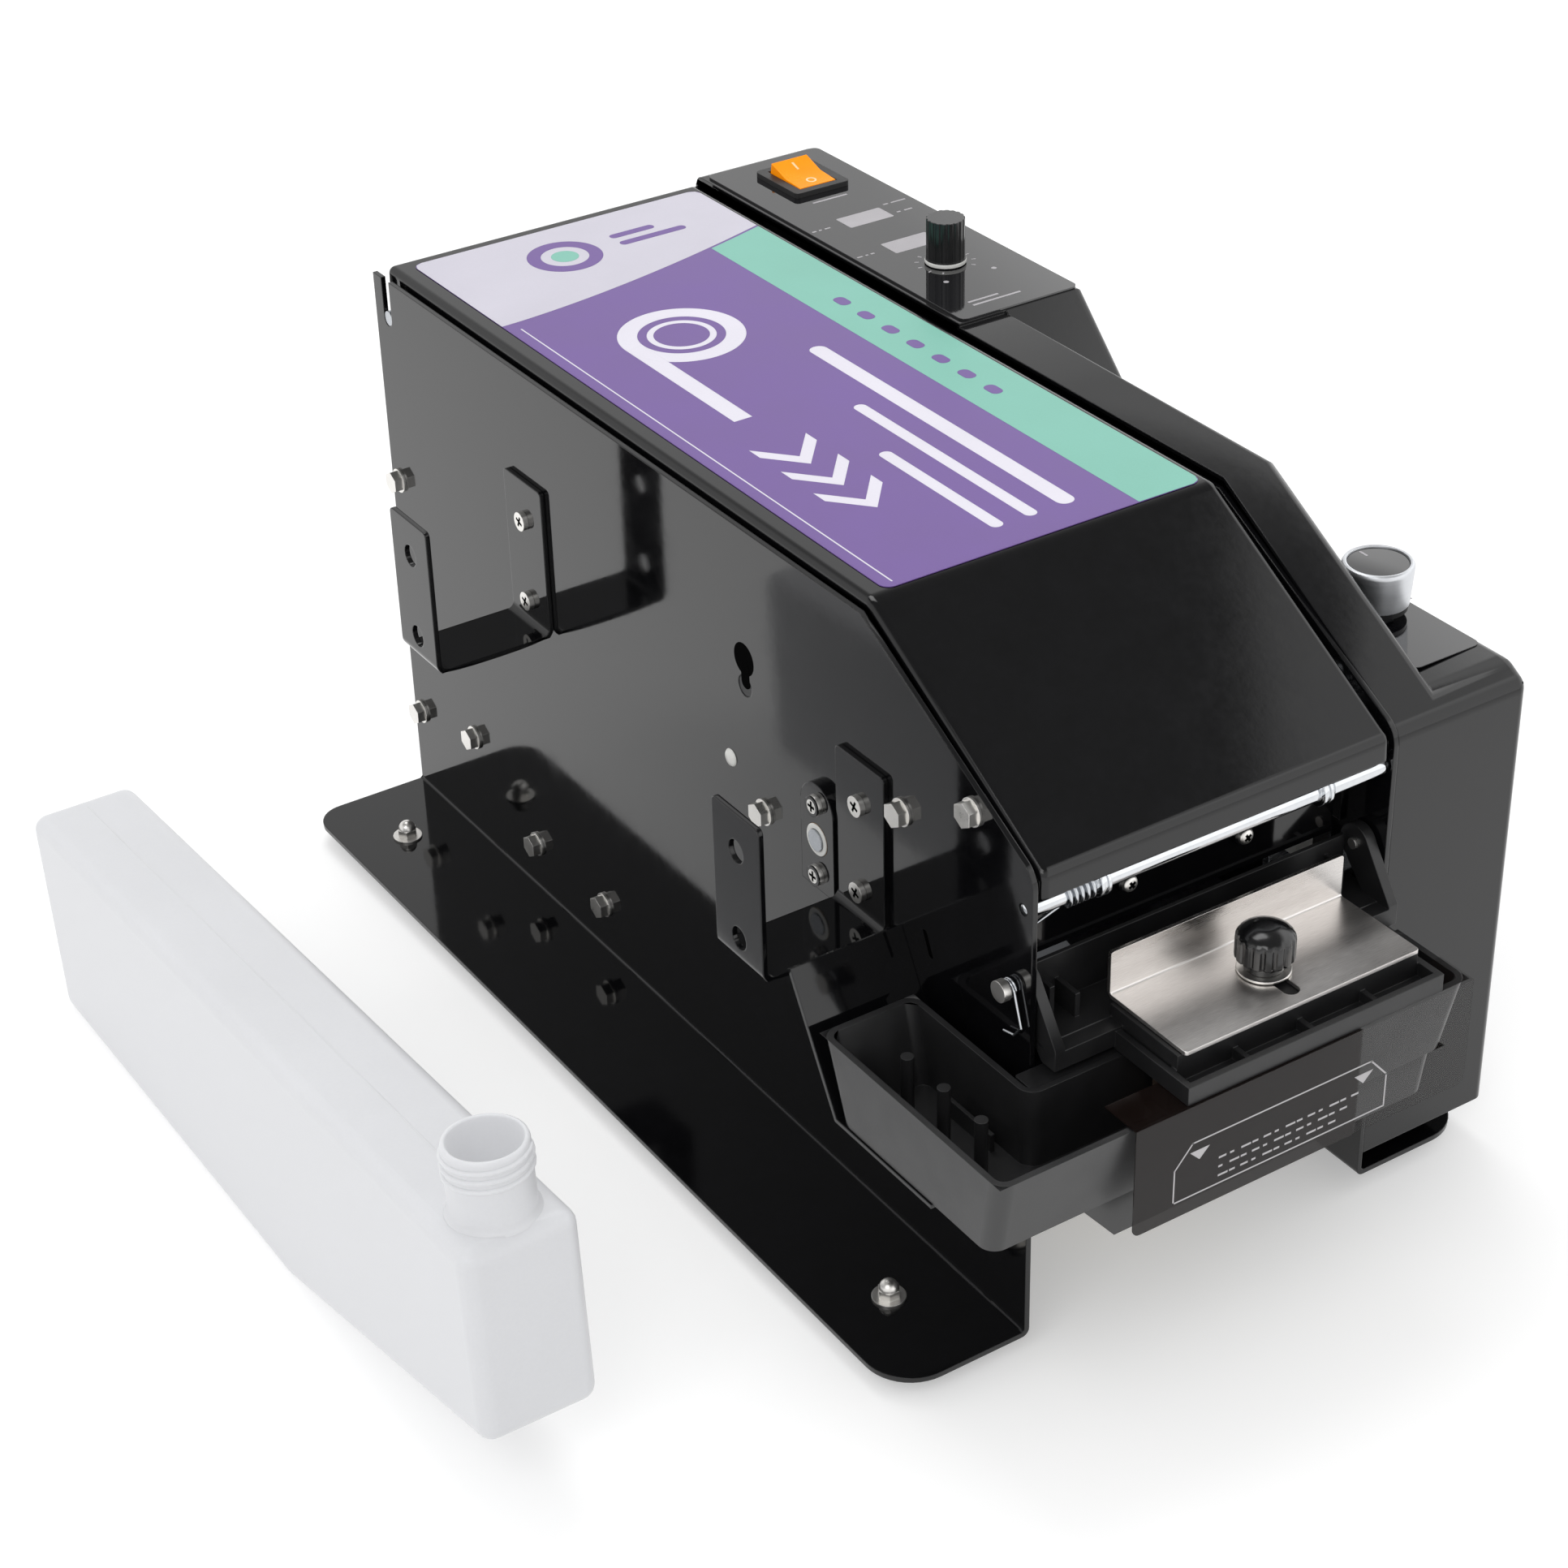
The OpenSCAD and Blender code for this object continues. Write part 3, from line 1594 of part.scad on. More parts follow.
module thumb_knob() {
    washer_d = 18;
    washer_t = 1;
    neck_d = 13;
    neck_h = 5;
    grip_h = 9;
    flutes = 16;
    flute_depth = 0.7;
    dome_h = 3.5;
    dome_in = 4;
    above_film = 3;
    z0 = plate_top + slack;
    grip_z = z0 + washer_t + neck_h;
    screw_z = cover_low + above_film;
    color("#121212")
        seat()
            translate([cover_x, knob_y, 0]) {
                translate([0, 0, z0])
                    cylinder(d = washer_d, h = washer_t);
                translate([0, 0, z0 + washer_t])
                    cylinder(d = neck_d, h = neck_h);
                translate([0, 0, grip_z])
                    linear_extrude(grip_h)
                        fluted(thumb_d, flutes, flute_depth);
                translate([0, 0, grip_z + grip_h])
                    cylinder(d1 = thumb_d - 1, d2 = thumb_d - 2 * dome_in, h = dome_h);
                translate([0, 0, screw_z])
                    cylinder(d = knob_screw_d, h = grip_z - screw_z);
            }
}

// Clear film under the cover's front, hanging over the tray's front wall
module splash_film() {
    film_t = 0.4;
    x0 = 6;
    x1 = bay_x1 - 1;
    y0 = tray_y0 - film_ahead;
    under_cover = 16;
    hang = 42;
    color([0.8, 0.85, 0.9, 0.4])
        seat() {
            block(x0, x1, y0, y0 + under_cover, cover_low - film_t, cover_low);
            block(x0, x1, y0, y0 + film_t, cover_low - hang, cover_low);
        }
}

// Bottle: blow moulded, flat sided, standing on the floor with its neck up
bottle_near = 73;
bottle_knee = [150.7, 98.7];
bottle_far = 85;
bottle_tilt = atan2(bottle_knee[1] - bottle_far, bottle_l - bottle_knee[0]);
bottle_z = bottle_knee[0] * sin(bottle_tilt) + bottle_knee[1] * cos(bottle_tilt);
module bottle_side(i) {
    neck_w = bottle_l - i;
    polygon([[i, -i], [i, i - bottle_near], [bottle_knee[0], i - bottle_knee[1]], [neck_w, i - bottle_far],
        [neck_w, -i]]);
}

module water_bottle() {
    neck_at = 18;
    neck_h = 26;
    neck_wall = 2.2;
    thread_out = 0.8;
    thread_w = 1.4;
    thread_pitch = 4;
    threads = 3;
    color([0.93, 0.93, 0.95, 0.9])
        seat()
            translate([bottle_x, bottle_y, bottle_z])
                rotate([-bottle_tilt, 0, 0])
                    difference() {
                        union() {
                            slab_x(0, bottle_t)
                                bottle_side(0);
                            translate([bottle_t / 2, neck_at, -over])
                                cylinder(d = neck_d, h = neck_h + over);
                            for (k = [1 : threads])
                                translate([bottle_t / 2, neck_at, neck_h - k * thread_pitch])
                                    cylinder(d = neck_d + 2 * thread_out, h = thread_w);
                        }
                        slab_x(bottle_wall, bottle_t - 2 * bottle_wall)
                            bottle_side(bottle_wall);
                        translate([bottle_t / 2, neck_at, -bottle_wall - over])
                            cylinder(d = neck_d - 2 * neck_wall, h = neck_h + bottle_wall + 2 * over);
                    }
}

left_side_plate();
right_side_plate();
rear_panel();
roll_basket();
roll_stop_bars();
guide_tie_bars();
frame_bolts();
rubber_feet();
foot_nuts();
front_support_roller();
rear_support_roller();
support_axles();
hood();
hood_hinge_pins();
hood_label();
hood_bumpers();
bearing_plates();
feed_bushes();
feed_roller();
feed_shaft();
pressure_arms();
pressure_pivot_rod();
pressure_roller();
lower_guide();
upper_guide();
outlet_plate();
outlet_rod();
fixed_blade();
cutter_frame();
blade_guides();
solenoid();
solenoid_plunger();
return_spring();
gear_motor();
motor_pulley();
feed_pulley();
drive_belt();
control_box();
control_panel();
rocker_bezel();
power_rocker();
length_control();
length_knob();
mode_panel();
mode_switch();
mode_knob();
control_board();
power_inlet();
bottle_brackets();
bracket_screws();
tray_shelf();
water_tray();
wetting_brush();
brush_cover();
cover_spring();
cover_pivot_bolts();
steel_plate();
thumb_knob();
splash_film();
water_bottle();
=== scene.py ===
from math import atan2, cos, degrees, hypot, pi, radians, sin

import bmesh
import bpy
from mathutils import Matrix, Vector


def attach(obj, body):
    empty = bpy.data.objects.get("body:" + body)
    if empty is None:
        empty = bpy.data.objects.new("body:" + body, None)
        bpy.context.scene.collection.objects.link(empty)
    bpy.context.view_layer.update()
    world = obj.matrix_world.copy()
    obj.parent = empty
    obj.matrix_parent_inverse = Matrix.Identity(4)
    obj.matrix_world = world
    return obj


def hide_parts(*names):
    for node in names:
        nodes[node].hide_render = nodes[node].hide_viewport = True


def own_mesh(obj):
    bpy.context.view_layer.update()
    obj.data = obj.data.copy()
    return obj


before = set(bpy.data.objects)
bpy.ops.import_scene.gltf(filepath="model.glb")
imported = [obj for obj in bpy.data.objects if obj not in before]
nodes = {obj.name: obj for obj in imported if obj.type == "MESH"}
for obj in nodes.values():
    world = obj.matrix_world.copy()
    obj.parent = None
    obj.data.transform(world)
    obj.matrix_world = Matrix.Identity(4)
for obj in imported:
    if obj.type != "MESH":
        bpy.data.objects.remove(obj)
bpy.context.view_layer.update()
scene = bpy.context.scene
scene.view_settings.view_transform = "Standard"

# ---------------------------------------------------------------------------
# Camera. It stands where the photograph was taken from: to the left of the
# machine's front, looking down at it.
# ---------------------------------------------------------------------------
camera = bpy.data.objects.new("camera", bpy.data.cameras.new("camera"))
scene.collection.objects.link(camera)
scene.camera = camera
camera.data.sensor_width = 36.0
camera.data.lens = 74.38
stand = (-0.51180, -0.84454, 0.74296)
around, above, roll = radians(-32.3546), radians(32.1047), 0.0289
back = Vector((sin(around) * cos(above), -cos(around) * cos(above), sin(above)))
right = Vector((0, 0, 1)).cross(back).normalized()
up = back.cross(right)
turned = Matrix((cos(roll) * right - sin(roll) * up, sin(roll) * right + cos(roll) * up, back))
camera.matrix_world = Matrix.Translation(stand) @ turned.transposed().to_4x4()

# ---------------------------------------------------------------------------
# Bench and light. A white paper floor in an even white room, with two broad
# soft lamps, one at the left front and one above the rear.
# ---------------------------------------------------------------------------
def srgb(code):
    """An sRGB hex colour as the linear colour that Blender's sockets take."""
    parts = [int(code[k : k + 2], 16) / 255 for k in (1, 3, 5)]
    return [p / 12.92 if p <= 0.04045 else ((p + 0.055) / 1.055) ** 2.4 for p in parts] + [1.0]


def add(tree, kind, inputs=None, **settings):
    """One new node: an input takes a value, or the output of another node."""
    node = tree.nodes.new(kind)
    for name, value in settings.items():
        setattr(node, name, value)
    for key, value in (inputs or {}).items():
        if isinstance(value, bpy.types.NodeSocket):
            tree.links.new(value, node.inputs[key])
        else:
            node.inputs[key].default_value = value
    return node


def maths(tree, a, b, operation="ADD"):
    """The sum of two values, or what another operation makes of them."""
    return add(tree, "ShaderNodeMath", {0: a, 1: b}, operation=operation).outputs[0]


def ramp(tree, value, low, high, first, last, **settings):
    """A value that goes from low to high, made to go from first to last."""
    inputs = {"Value": value, 1: low, 2: high, 3: first, 4: last}
    return add(tree, "ShaderNodeMapRange", inputs, **settings).outputs[0]


def surface(name):
    """A new material: its node tree and its Principled shader."""
    made = bpy.data.materials.new(name)
    made.use_nodes = True
    return made, made.node_tree, made.node_tree.nodes["Principled BSDF"]


def tune(material, values):
    """Sets named inputs of a material's Principled shader."""
    shader = material.node_tree.nodes["Principled BSDF"]
    for key, value in values.items():
        shader.inputs[key].default_value = value
    return shader


paper, tree, shader = surface("white_paper_floor")
tune(paper, {"Base Color": srgb("#e6e6e6"), "Roughness": 0.9, "Specular IOR Level": 0.0,
             "Emission Color": (1, 1, 1, 1)})
# Seen directly or mirrored, the paper is a little lighter than the lamps make it
rays = add(tree, "ShaderNodeLightPath").outputs
seen = maths(tree, rays["Is Camera Ray"], rays["Is Glossy Ray"])
seen = maths(tree, seen, rays["Is Transmission Ray"])
lift = maths(tree, seen, 0.34, "MULTIPLY")
tree.links.new(lift, shader.inputs["Emission Strength"])
floor_mesh = bmesh.new()
bmesh.ops.create_grid(floor_mesh, x_segments=1, y_segments=1, size=30.0)
floor = bpy.data.objects.new("floor", bpy.data.meshes.new("floor"))
floor_mesh.to_mesh(floor.data)
floor.data.materials.append(paper)
scene.collection.objects.link(floor)

room = bpy.data.worlds.new("white_room")
scene.world = room
room.use_nodes = True
tree = room.node_tree
tree.nodes.clear()
rays = add(tree, "ShaderNodeLightPath").outputs
toward = add(tree, "ShaderNodeTexCoord").outputs["Generated"]
height = add(tree, "ShaderNodeSeparateXYZ", {0: toward}).outputs["Z"]
# What gloss mirrors: white walls, a dim ceiling, a wide lamp overhead whose soft edge crosses
# the hood, and a second lamp beside it
across_hood = (0.788, -0.162, -0.594)
across = add(tree, "ShaderNodeVectorMath", {0: toward, 1: across_hood}, operation="DOT_PRODUCT")
across = across.outputs["Value"]
ceiling = ramp(tree, height, 0.5, 0.8, 0.92, 0.22, interpolation_type="SMOOTHSTEP")
overhead = ramp(tree, height, 0.55, 0.7, 0.0, 0.85)
lamp_edge = ramp(tree, across, -0.008, 0.01, 0.0, 1.0, interpolation_type="SMOOTHSTEP")
side_lamp = ramp(tree, across, 0.07, 0.11, 0.0, 0.55)
mirrored_light = maths(tree, ceiling, maths(tree, overhead, lamp_edge, "MULTIPLY"))
mirrored_light = maths(tree, mirrored_light, side_lamp)
mirrored = maths(tree, rays["Is Glossy Ray"], rays["Is Transmission Ray"], "MAXIMUM")
glossy, plain, white = (
    add(tree, "ShaderNodeBackground", {"Color": (1, 1, 1, 1), "Strength": strength}).outputs[0]
    for strength in (mirrored_light, 0.82, 1.0)
)
lit = add(tree, "ShaderNodeMixShader", {0: mirrored, 1: plain, 2: glossy}).outputs[0]
shown = add(tree, "ShaderNodeMixShader", {0: rays["Is Camera Ray"], 1: lit, 2: white}).outputs[0]
add(tree, "ShaderNodeOutputWorld", {"Surface": shown})


def softbox(name, place, aim, size, watts):
    """A square area lamp at place, facing aim."""
    lamp = bpy.data.lights.new(name, "AREA")
    lamp.size = size
    lamp.energy = watts
    holder = bpy.data.objects.new(name, lamp)
    scene.collection.objects.link(holder)
    holder.location = place
    holder.rotation_euler = (Vector(place) - Vector(aim)).to_track_quat("Z", "Y").to_euler()


softbox("lamp_left", (-1.6, -1.2, 2.0), (0, 0, 0.1), 1.4, 15)
softbox("lamp_above", (0.3, 0.9, 2.5), (0, 0, 0.2), 1.2, 14)

# ---------------------------------------------------------------------------
# Side plates. 2 mm sheet steel, each folded outwards at the bottom into a foot
# flange, punched, and gloss black powder coated, which rounds every edge.
# ---------------------------------------------------------------------------
def grained(name, dark, light, grain, depth, rough, metallic=0.0, ior=1.5,
            stretch=(1, 1, 1), edge=0.0003, blot=12.0):
    """A finish: its grain in mm is bump and roughness, its colour drifts over blots in mm."""
    made, tree, shader = surface(name)
    place = add(tree, "ShaderNodeTexCoord").outputs["Object"]
    drawn = add(tree, "ShaderNodeMapping", {"Vector": place, "Scale": stretch}).outputs[0]
    fine, broad = (
        add(tree, "ShaderNodeTexNoise", {"Vector": drawn, "Scale": 1000 / size, "Detail": detail})
        .outputs["Fac"] for size, detail in ((grain, 3.0), (blot, 4.0))
    )
    both = add(tree, "ShaderNodeMix", {0: 0.35, 2: broad, 3: fine}, data_type="FLOAT").outputs[0]
    noise_low, noise_high = 0.3, 0.7
    drift = ramp(tree, both, noise_low, noise_high, 0.0, 1.0)
    colours = {0: drift, 6: srgb(dark), 7: srgb(light)}
    colour = add(tree, "ShaderNodeMix", colours, data_type="RGBA").outputs[2]
    worn = ramp(tree, both, noise_low, noise_high, *rough)
    soft = add(tree, "ShaderNodeBevel", {"Radius": edge}, samples=4).outputs[0]
    relief = {"Strength": 1.0, "Distance": depth / 1000, "Height": fine, "Normal": soft}
    bump = add(tree, "ShaderNodeBump", relief).outputs[0]
    tree.links.new(colour, shader.inputs["Base Color"])
    tree.links.new(worn, shader.inputs["Roughness"])
    tree.links.new(bump, shader.inputs["Normal"])
    shader.inputs["Metallic"].default_value = metallic
    shader.inputs["IOR"].default_value = ior
    return made


# Gloss polyester powder coat: mirror-like at a low angle, faint orange peel a few mm across
powder_coat = grained("gloss_black_powder_coat", "#080809", "#0c0c0e", 3.0, 0.004, (0.05, 0.09),
                      edge=0.0006)

# The machine's own mm start at the left plate's outer face, the plates' front edges and the
# floor; this is where the frame's origin lies in them
origin_x, origin_y = 10.0, 192.75


def mid(edge):
    """The middle of an edge in the machine's own mm."""
    point = (edge.verts[0].co + edge.verts[1].co) * 500
    return point.x + origin_x, point.y + origin_y, point.z


def near(size, *wanted):
    """True if a size in mm is one of those wanted, to within 0.1 mm."""
    return any(abs(size - one) < 0.1 for one in wanted)


def runs(edge, axis):
    """True if an edge runs along an axis, to within 20 degrees."""
    along = edge.verts[1].co - edge.verts[0].co
    return along.length > 1e-9 and abs(along[axis]) / along.length > 0.94


def copy_of(node):
    """A CAD node's mesh with its flat faces whole again."""
    made = bmesh.new()
    made.from_mesh(nodes[node].data)
    bmesh.ops.remove_doubles(made, verts=made.verts, dist=1e-6)
    bmesh.ops.dissolve_limit(made, angle_limit=radians(0.3), verts=made.verts, edges=made.edges)
    return made


def rounded(made, radius, segments=2, where=None, sharper=35, held=True):
    """Rounds edges sharper than an angle that where() picks, by mm, held back where it's tight."""
    picked = [e for e in made.edges if e.is_manifold and degrees(e.calc_face_angle(0)) > sharper
              and (where is None or where(e))]
    if picked:
        bmesh.ops.bevel(made, geom=picked, offset=radius / 1000, offset_type="OFFSET",
                        affect="EDGES", segments=segments, profile=0.5, material=-1,
                        clamp_overlap=held)


def piece(name, made, finish, body, slot, *stands_for, creases=50):
    """A finished mesh as a piece of the machine that rides on a body."""
    mesh = bpy.data.meshes.new(name)
    made.to_mesh(mesh)
    made.free()
    for layer in [a.name for a in mesh.attributes if a.name == "custom_normal"]:
        mesh.attributes.remove(mesh.attributes[layer])
    mesh.materials.clear()
    mesh.materials.append(finish)
    mesh.shade_smooth()
    mesh.set_sharp_from_angle(angle=radians(creases))
    thing = bpy.data.objects.new(name, mesh)
    scene.collection.objects.link(thing)
    even = thing.modifiers.new("even_normals", "WEIGHTED_NORMAL")
    even.keep_sharp = True
    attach(thing, body)
    if stands_for:
        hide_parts(*stands_for)
    return thing


flange_low, flange_high = 8, 10
for side, skin, hollow in (("left_side_plate", 2.0, 0.0), ("right_side_plate", 147.0, 149.0)):
    plate = copy_of(side)
    rounded(plate, 3.0, 5,
            lambda e: runs(e, 1) and near(mid(e)[0], skin) and near(mid(e)[2], flange_low))
    rounded(plate, 1.0, 3,
            lambda e: runs(e, 1) and near(mid(e)[0], hollow) and near(mid(e)[2], flange_high))
    rounded(plate, 0.3, 2)
    piece("coated_" + side, plate, powder_coat, "frame", "black_steel", side)

# ---------------------------------------------------------------------------
# Small things on the left plate. A white nylon hole plug, and the keyhole and
# the slot punched in the sheet, drawn as painted shade: dark shapes just proud of it.
# ---------------------------------------------------------------------------
def at(x, y, z):
    """A point in the machine's own mm as a place in the frame."""
    return Vector((x - origin_x, y - origin_y, z)) / 1000


def level(x, y, z):
    """A frame at a point in mm whose Z points up."""
    return Matrix.Translation(at(x, y, z))


def left_side(x, y, z):
    """A frame at a point in mm whose Z points left, out of the left plate."""
    return level(x, y, z) @ Matrix(((0, 0, -1, 0), (1, 0, 0, 0), (0, 1, 0, 0), (0, 0, 0, 1)))


def rectangle(x0, x1, y0, y1):
    """The four corners of a rectangle."""
    return [(x0, y0), (x1, y0), (x1, y1), (x0, y1)]


def prism(made, outline, low, high, place, corner=0.0):
    """An outline in mm, solid from low to high along the Z of place, its corners rounded."""
    rim = [made.verts.new(place @ (Vector((x, y, low)) / 1000)) for x, y in outline]
    face = made.faces.new(rim)
    grown = bmesh.ops.extrude_face_region(made, geom=[face])
    raised = [v for v in grown["geom"] if isinstance(v, bmesh.types.BMVert)]
    rise = place.to_3x3() @ Vector((0, 0, (high - low) / 1000))
    bmesh.ops.translate(made, verts=raised, vec=rise)
    if corner:
        posts = [e for v in rim for e in v.link_edges
                 if (e.verts[0].co - e.verts[1].co).cross(rise).length < 1e-9]
        bmesh.ops.bevel(made, geom=posts, offset=corner / 1000, offset_type="OFFSET",
                        affect="EDGES", segments=6, profile=0.5, material=-1, clamp_overlap=True)


def lathe(made, profile, place, steps=64):
    """A profile of (radius, height) in mm turned round the Z of place."""
    start = [made.verts.new(place @ (Vector((r, 0, h)) / 1000)) for r, h in profile]
    line = [made.edges.new(pair) for pair in zip(start, start[1:])]
    bmesh.ops.spin(made, geom=start + line, cent=place.translation,
                   axis=place.to_3x3() @ Vector((0, 0, 1)), angle=2 * pi, steps=steps,
                   use_merge=True)
    bmesh.ops.remove_doubles(made, verts=made.verts, dist=1e-6)


def closed(made):
    """Turns every face outward."""
    bmesh.ops.recalc_face_normals(made, faces=made.faces)
    return made


nylon = grained("white_nylon", "#d6d6d2", "#e4e4e0", 0.8, 0.004, (0.3, 0.4), ior=1.53)
plug = bmesh.new()
lathe(plug, [(0, 1.3), (1.6, 1.2), (2.9, 0.8), (3.4, 0.2), (3.4, -0.3), (0, -0.3)],
      left_side(0, 174.3, 148.3), 32)
piece("nylon_hole_plug", closed(plug), nylon, "frame", "white_nylon")

# Painted shade: a near black with almost no gloss, drawn over holes and recesses where shade falls
painted_hole_shade = grained("painted_shade_in_holes_and_recesses", "#010101", "#030303", 0.5, 0.002, (0.8, 0.95))
tune(painted_hole_shade, {"Specular IOR Level": 0.02})
punched = bmesh.new()
on_plate = left_side(0, 0, 0)
prism(punched, rectangle(157.4, 169.8, 186.7, 199.1), -0.2, 0.03, on_plate, 6.19)
prism(punched, [(160.6, 192), (165.8, 192), (165.4, 181.7), (160.2, 181.7)], -0.2, 0.04,
      on_plate, 2.4)
prism(punched, [(56.4, 141), (58.6, 141), (54.6, 132), (52.4, 132)], -0.2, 0.03, on_plate, 0.9)
piece("punched_slots", closed(punched), painted_hole_shade, "frame", "black_steel")

# ---------------------------------------------------------------------------
# Folded sheet. Steel in the same coat: the 1.5 mm rear panel and the trough for
# the roll of tape, the tape's guides, the pressure roller's arms and the feed
# shaft's bearing plates.
# ---------------------------------------------------------------------------
def coat(finish, *names):
    """Gives CAD nodes whose shape is right their finish."""
    for name in names:
        nodes[name].data.materials.clear()
        nodes[name].data.materials.append(finish)


coat(powder_coat, "rear_panel", "roll_basket", "lower_guide", "upper_guide", "pressure_arms",
     "bearing_plates")

# ---------------------------------------------------------------------------
# Bars, axles and rollers. Ground steel bar across the bay, a black oxide pivot
# rod whose black is also painted shade where its end shows in the keyhole, and acetal
# rollers that the roll of tape turns on.
# ---------------------------------------------------------------------------
# Ground bar steel: fine marks round the bar
drawn_steel = grained("ground_bar_steel", "#a9adb3", "#c3c6ca", 0.4, 0.002, (0.22, 0.34), 1.0,
                      stretch=(6, 1, 1))
coat(drawn_steel, "roll_stop_bars", "guide_tie_bars", "support_axles", "hood_hinge_pins",
     "feed_shaft", "solenoid_plunger")
# Black oxide: deep black with a dull oil sheen, and painted shade where the rod's end shows in the
# keyhole
black_oxide_and_shade = grained("black_oxide_steel_and_painted_shade", "#08080a", "#0e0e10", 0.5, 0.002, (0.35, 0.5))
coat(black_oxide_and_shade, "pressure_pivot_rod")
# Natural acetal: waxy white, turned smooth
acetal = grained("natural_acetal", "#d8d8d2", "#e6e6e1", 0.5, 0.003, (0.35, 0.45), ior=1.48)
coat(acetal, "front_support_roller", "rear_support_roller", "blade_guides", "motor_pulley",
     "feed_pulley")

# ---------------------------------------------------------------------------
# Screws. Bright zinc plated M5 bolts, M4 pan heads and nuts: a pale plating
# with a fine crystal grain.
# ---------------------------------------------------------------------------
zinc = grained("bright_zinc_plate", "#dedcd8", "#f2f0ec", 0.35, 0.004, (0.26, 0.4), 1.0)
coat(zinc, "frame_bolts", "foot_nuts", "bracket_screws", "cover_pivot_bolts")

# ---------------------------------------------------------------------------
# Feet, bumpers, driven rollers and belt. Black vulcanised rubber: dull and
# faintly pitted.
# ---------------------------------------------------------------------------
rubber = grained("black_rubber", "#1c1c1d", "#262627", 0.6, 0.02, (0.6, 0.8), ior=1.52)
coat(rubber, "rubber_feet", "hood_bumpers", "feed_roller", "pressure_roller", "drive_belt")

# ---------------------------------------------------------------------------
# Hood. One folded sheet over the bay with turned-down sides and a front lip,
# hinged at the rear, in the same gloss coat with softly rounded folds.
# ---------------------------------------------------------------------------
hood = copy_of("hood")
hood_sides = (3.5, 145.5)
lip_top, roof = 191.7, 246.6
hood_bend, hood_rear = 93.0, 425


def on_hood_skin(e):
    """The hood's outer folds: along its sides, and across it where it bends."""
    x, y, z = mid(e)
    skin = lip_top + min(y, hood_bend) * (roof - lip_top) / hood_bend
    if runs(e, 0):
        return near(y, 0, hood_bend, hood_rear) and near(z, skin)
    standing = runs(e, 2) and (y < 0.1 or y > hood_rear - 0.1)
    return near(x, *hood_sides) and (near(z, skin) or standing)


rounded(hood, 3.0, 6, on_hood_skin, sharper=15, held=False)
rounded(hood, 0.3, 2)
piece("coated_hood", hood, powder_coat, "hood", "black_steel", "hood", creases=60)

# ---------------------------------------------------------------------------
# Hood label. One satin vinyl sheet with a fine leather-like grain, printed
# violet, white and mint, with motifs of its own and no lettering.
# ---------------------------------------------------------------------------
def print_colour(name, dark, light):
    """A colour printed on the label's vinyl."""
    return grained(name, dark, light, 0.7, 0.012, (0.34, 0.44), blot=30)


violet_print = print_colour("violet_print", "#694b91", "#6f519b")
coat(violet_print, "hood_label")
white_print = print_colour("white_print", "#c6c3cf", "#cecbd7")
mint_print = print_colour("mint_print", "#76b9a7", "#7fc1b0")
bright_print = print_colour("bright_white_print", "#dcd9e4", "#e4e1ec")
# A print is solid from a little below the face it lies on to the height of its ink in mm
sunk, ink = -0.1, 0.03
over_ink = 2.2 * ink
label_z, label_left, label_right = 246.9, 11.5, 141.5
on_label = level(0, 0, label_z)
emblem = level(64, 390, label_z)


def ring(made, outer, inner, low, high, place, steps):
    """A flat ring in mm round the Z of place."""
    lathe(made, [(outer, low), (outer, high), (inner, high), (inner, low), (outer, low)], place,
          steps)


def disc(made, radius, low, high, place, steps):
    """A round disc in mm on the Z of place."""
    lathe(made, [(0, high), (radius, high), (radius, low), (0, low)], place, steps)


def border(x):
    """Where the label's white field ends, as a curve across it."""
    return 346.0 + 26.0 * ((x - label_left) / 130) ** 1.6


steps_across = [label_left + 130 * k / 24 for k in range(25)]
rear_field = bmesh.new()
prism(rear_field, [(x, border(x)) for x in steps_across]
      + [(label_right, 414), (140.3, 416.8), (137.5, 418), (15.5, 418), (12.7, 416.8),
         (label_left, 414)], sunk, ink, on_label)
piece("white_label_field", closed(rear_field), white_print, "hood", "label_violet")

stripe = bmesh.new()
over_stripe = [x for x in steps_across if x > 112]
prism(stripe, [(over_stripe[0], 99), (over_stripe[0], 95.2), (137.5, 95), (140.3, 96.2),
               (label_right, 99)]
      + [(x, border(x) - 1.2) for x in reversed(over_stripe)], sunk, ink, on_label)
disc(stripe, 5.5, ink, over_ink, emblem, 40)
piece("mint_label_stripe", closed(stripe), mint_print, "hood", "label_violet")

# White motifs: a roll of tape with its tail, arrows forward, three bars, a line along the left
motif = bmesh.new()
for outer, inner in ((24, 16.5), (13, 10.5)):
    ring(motif, outer, inner, sunk, ink, level(62, 300, label_z), 96)
prism(motif, rectangle(38, 45.5, 226, 300), sunk, 1.4 * ink, on_label)
for y in (204, 184, 164):
    arrow = [(30, y), (41.7, y - 14), (53.5, y), (53.5, y - 7), (41.7, y - 21), (30, y - 7)]
    prism(motif, arrow, sunk, ink, on_label)
prism(motif, rectangle(92, 99, 108, 262), sunk, ink, on_label, 3.4)
prism(motif, rectangle(78, 83, 108, 212), sunk, ink, on_label, 2.4)
prism(motif, rectangle(64, 69, 108, 176), sunk, ink, on_label, 2.4)
prism(motif, rectangle(16, 16.6, 98, 340), sunk, ink, on_label)
piece("white_label_motifs", closed(motif), bright_print, "hood", "label_violet")

# Violet motifs over the mint and the white: seven dashes, and the emblem with two bars
small = bmesh.new()
ring(small, 15, 9.5, ink, over_ink, emblem, 72)
for k in range(7):
    prism(small, rectangle(124.5, 129.5, 190 + 16 * k, 198 + 16 * k), ink, over_ink, on_label, 2.3)
prism(small, rectangle(88, 118, 386, 390), ink, over_ink, on_label, 1.9)
prism(small, rectangle(88, 108, 394, 398), ink, over_ink, on_label, 1.9)
piece("violet_label_motifs", closed(small), violet_print, "hood", "label_violet")

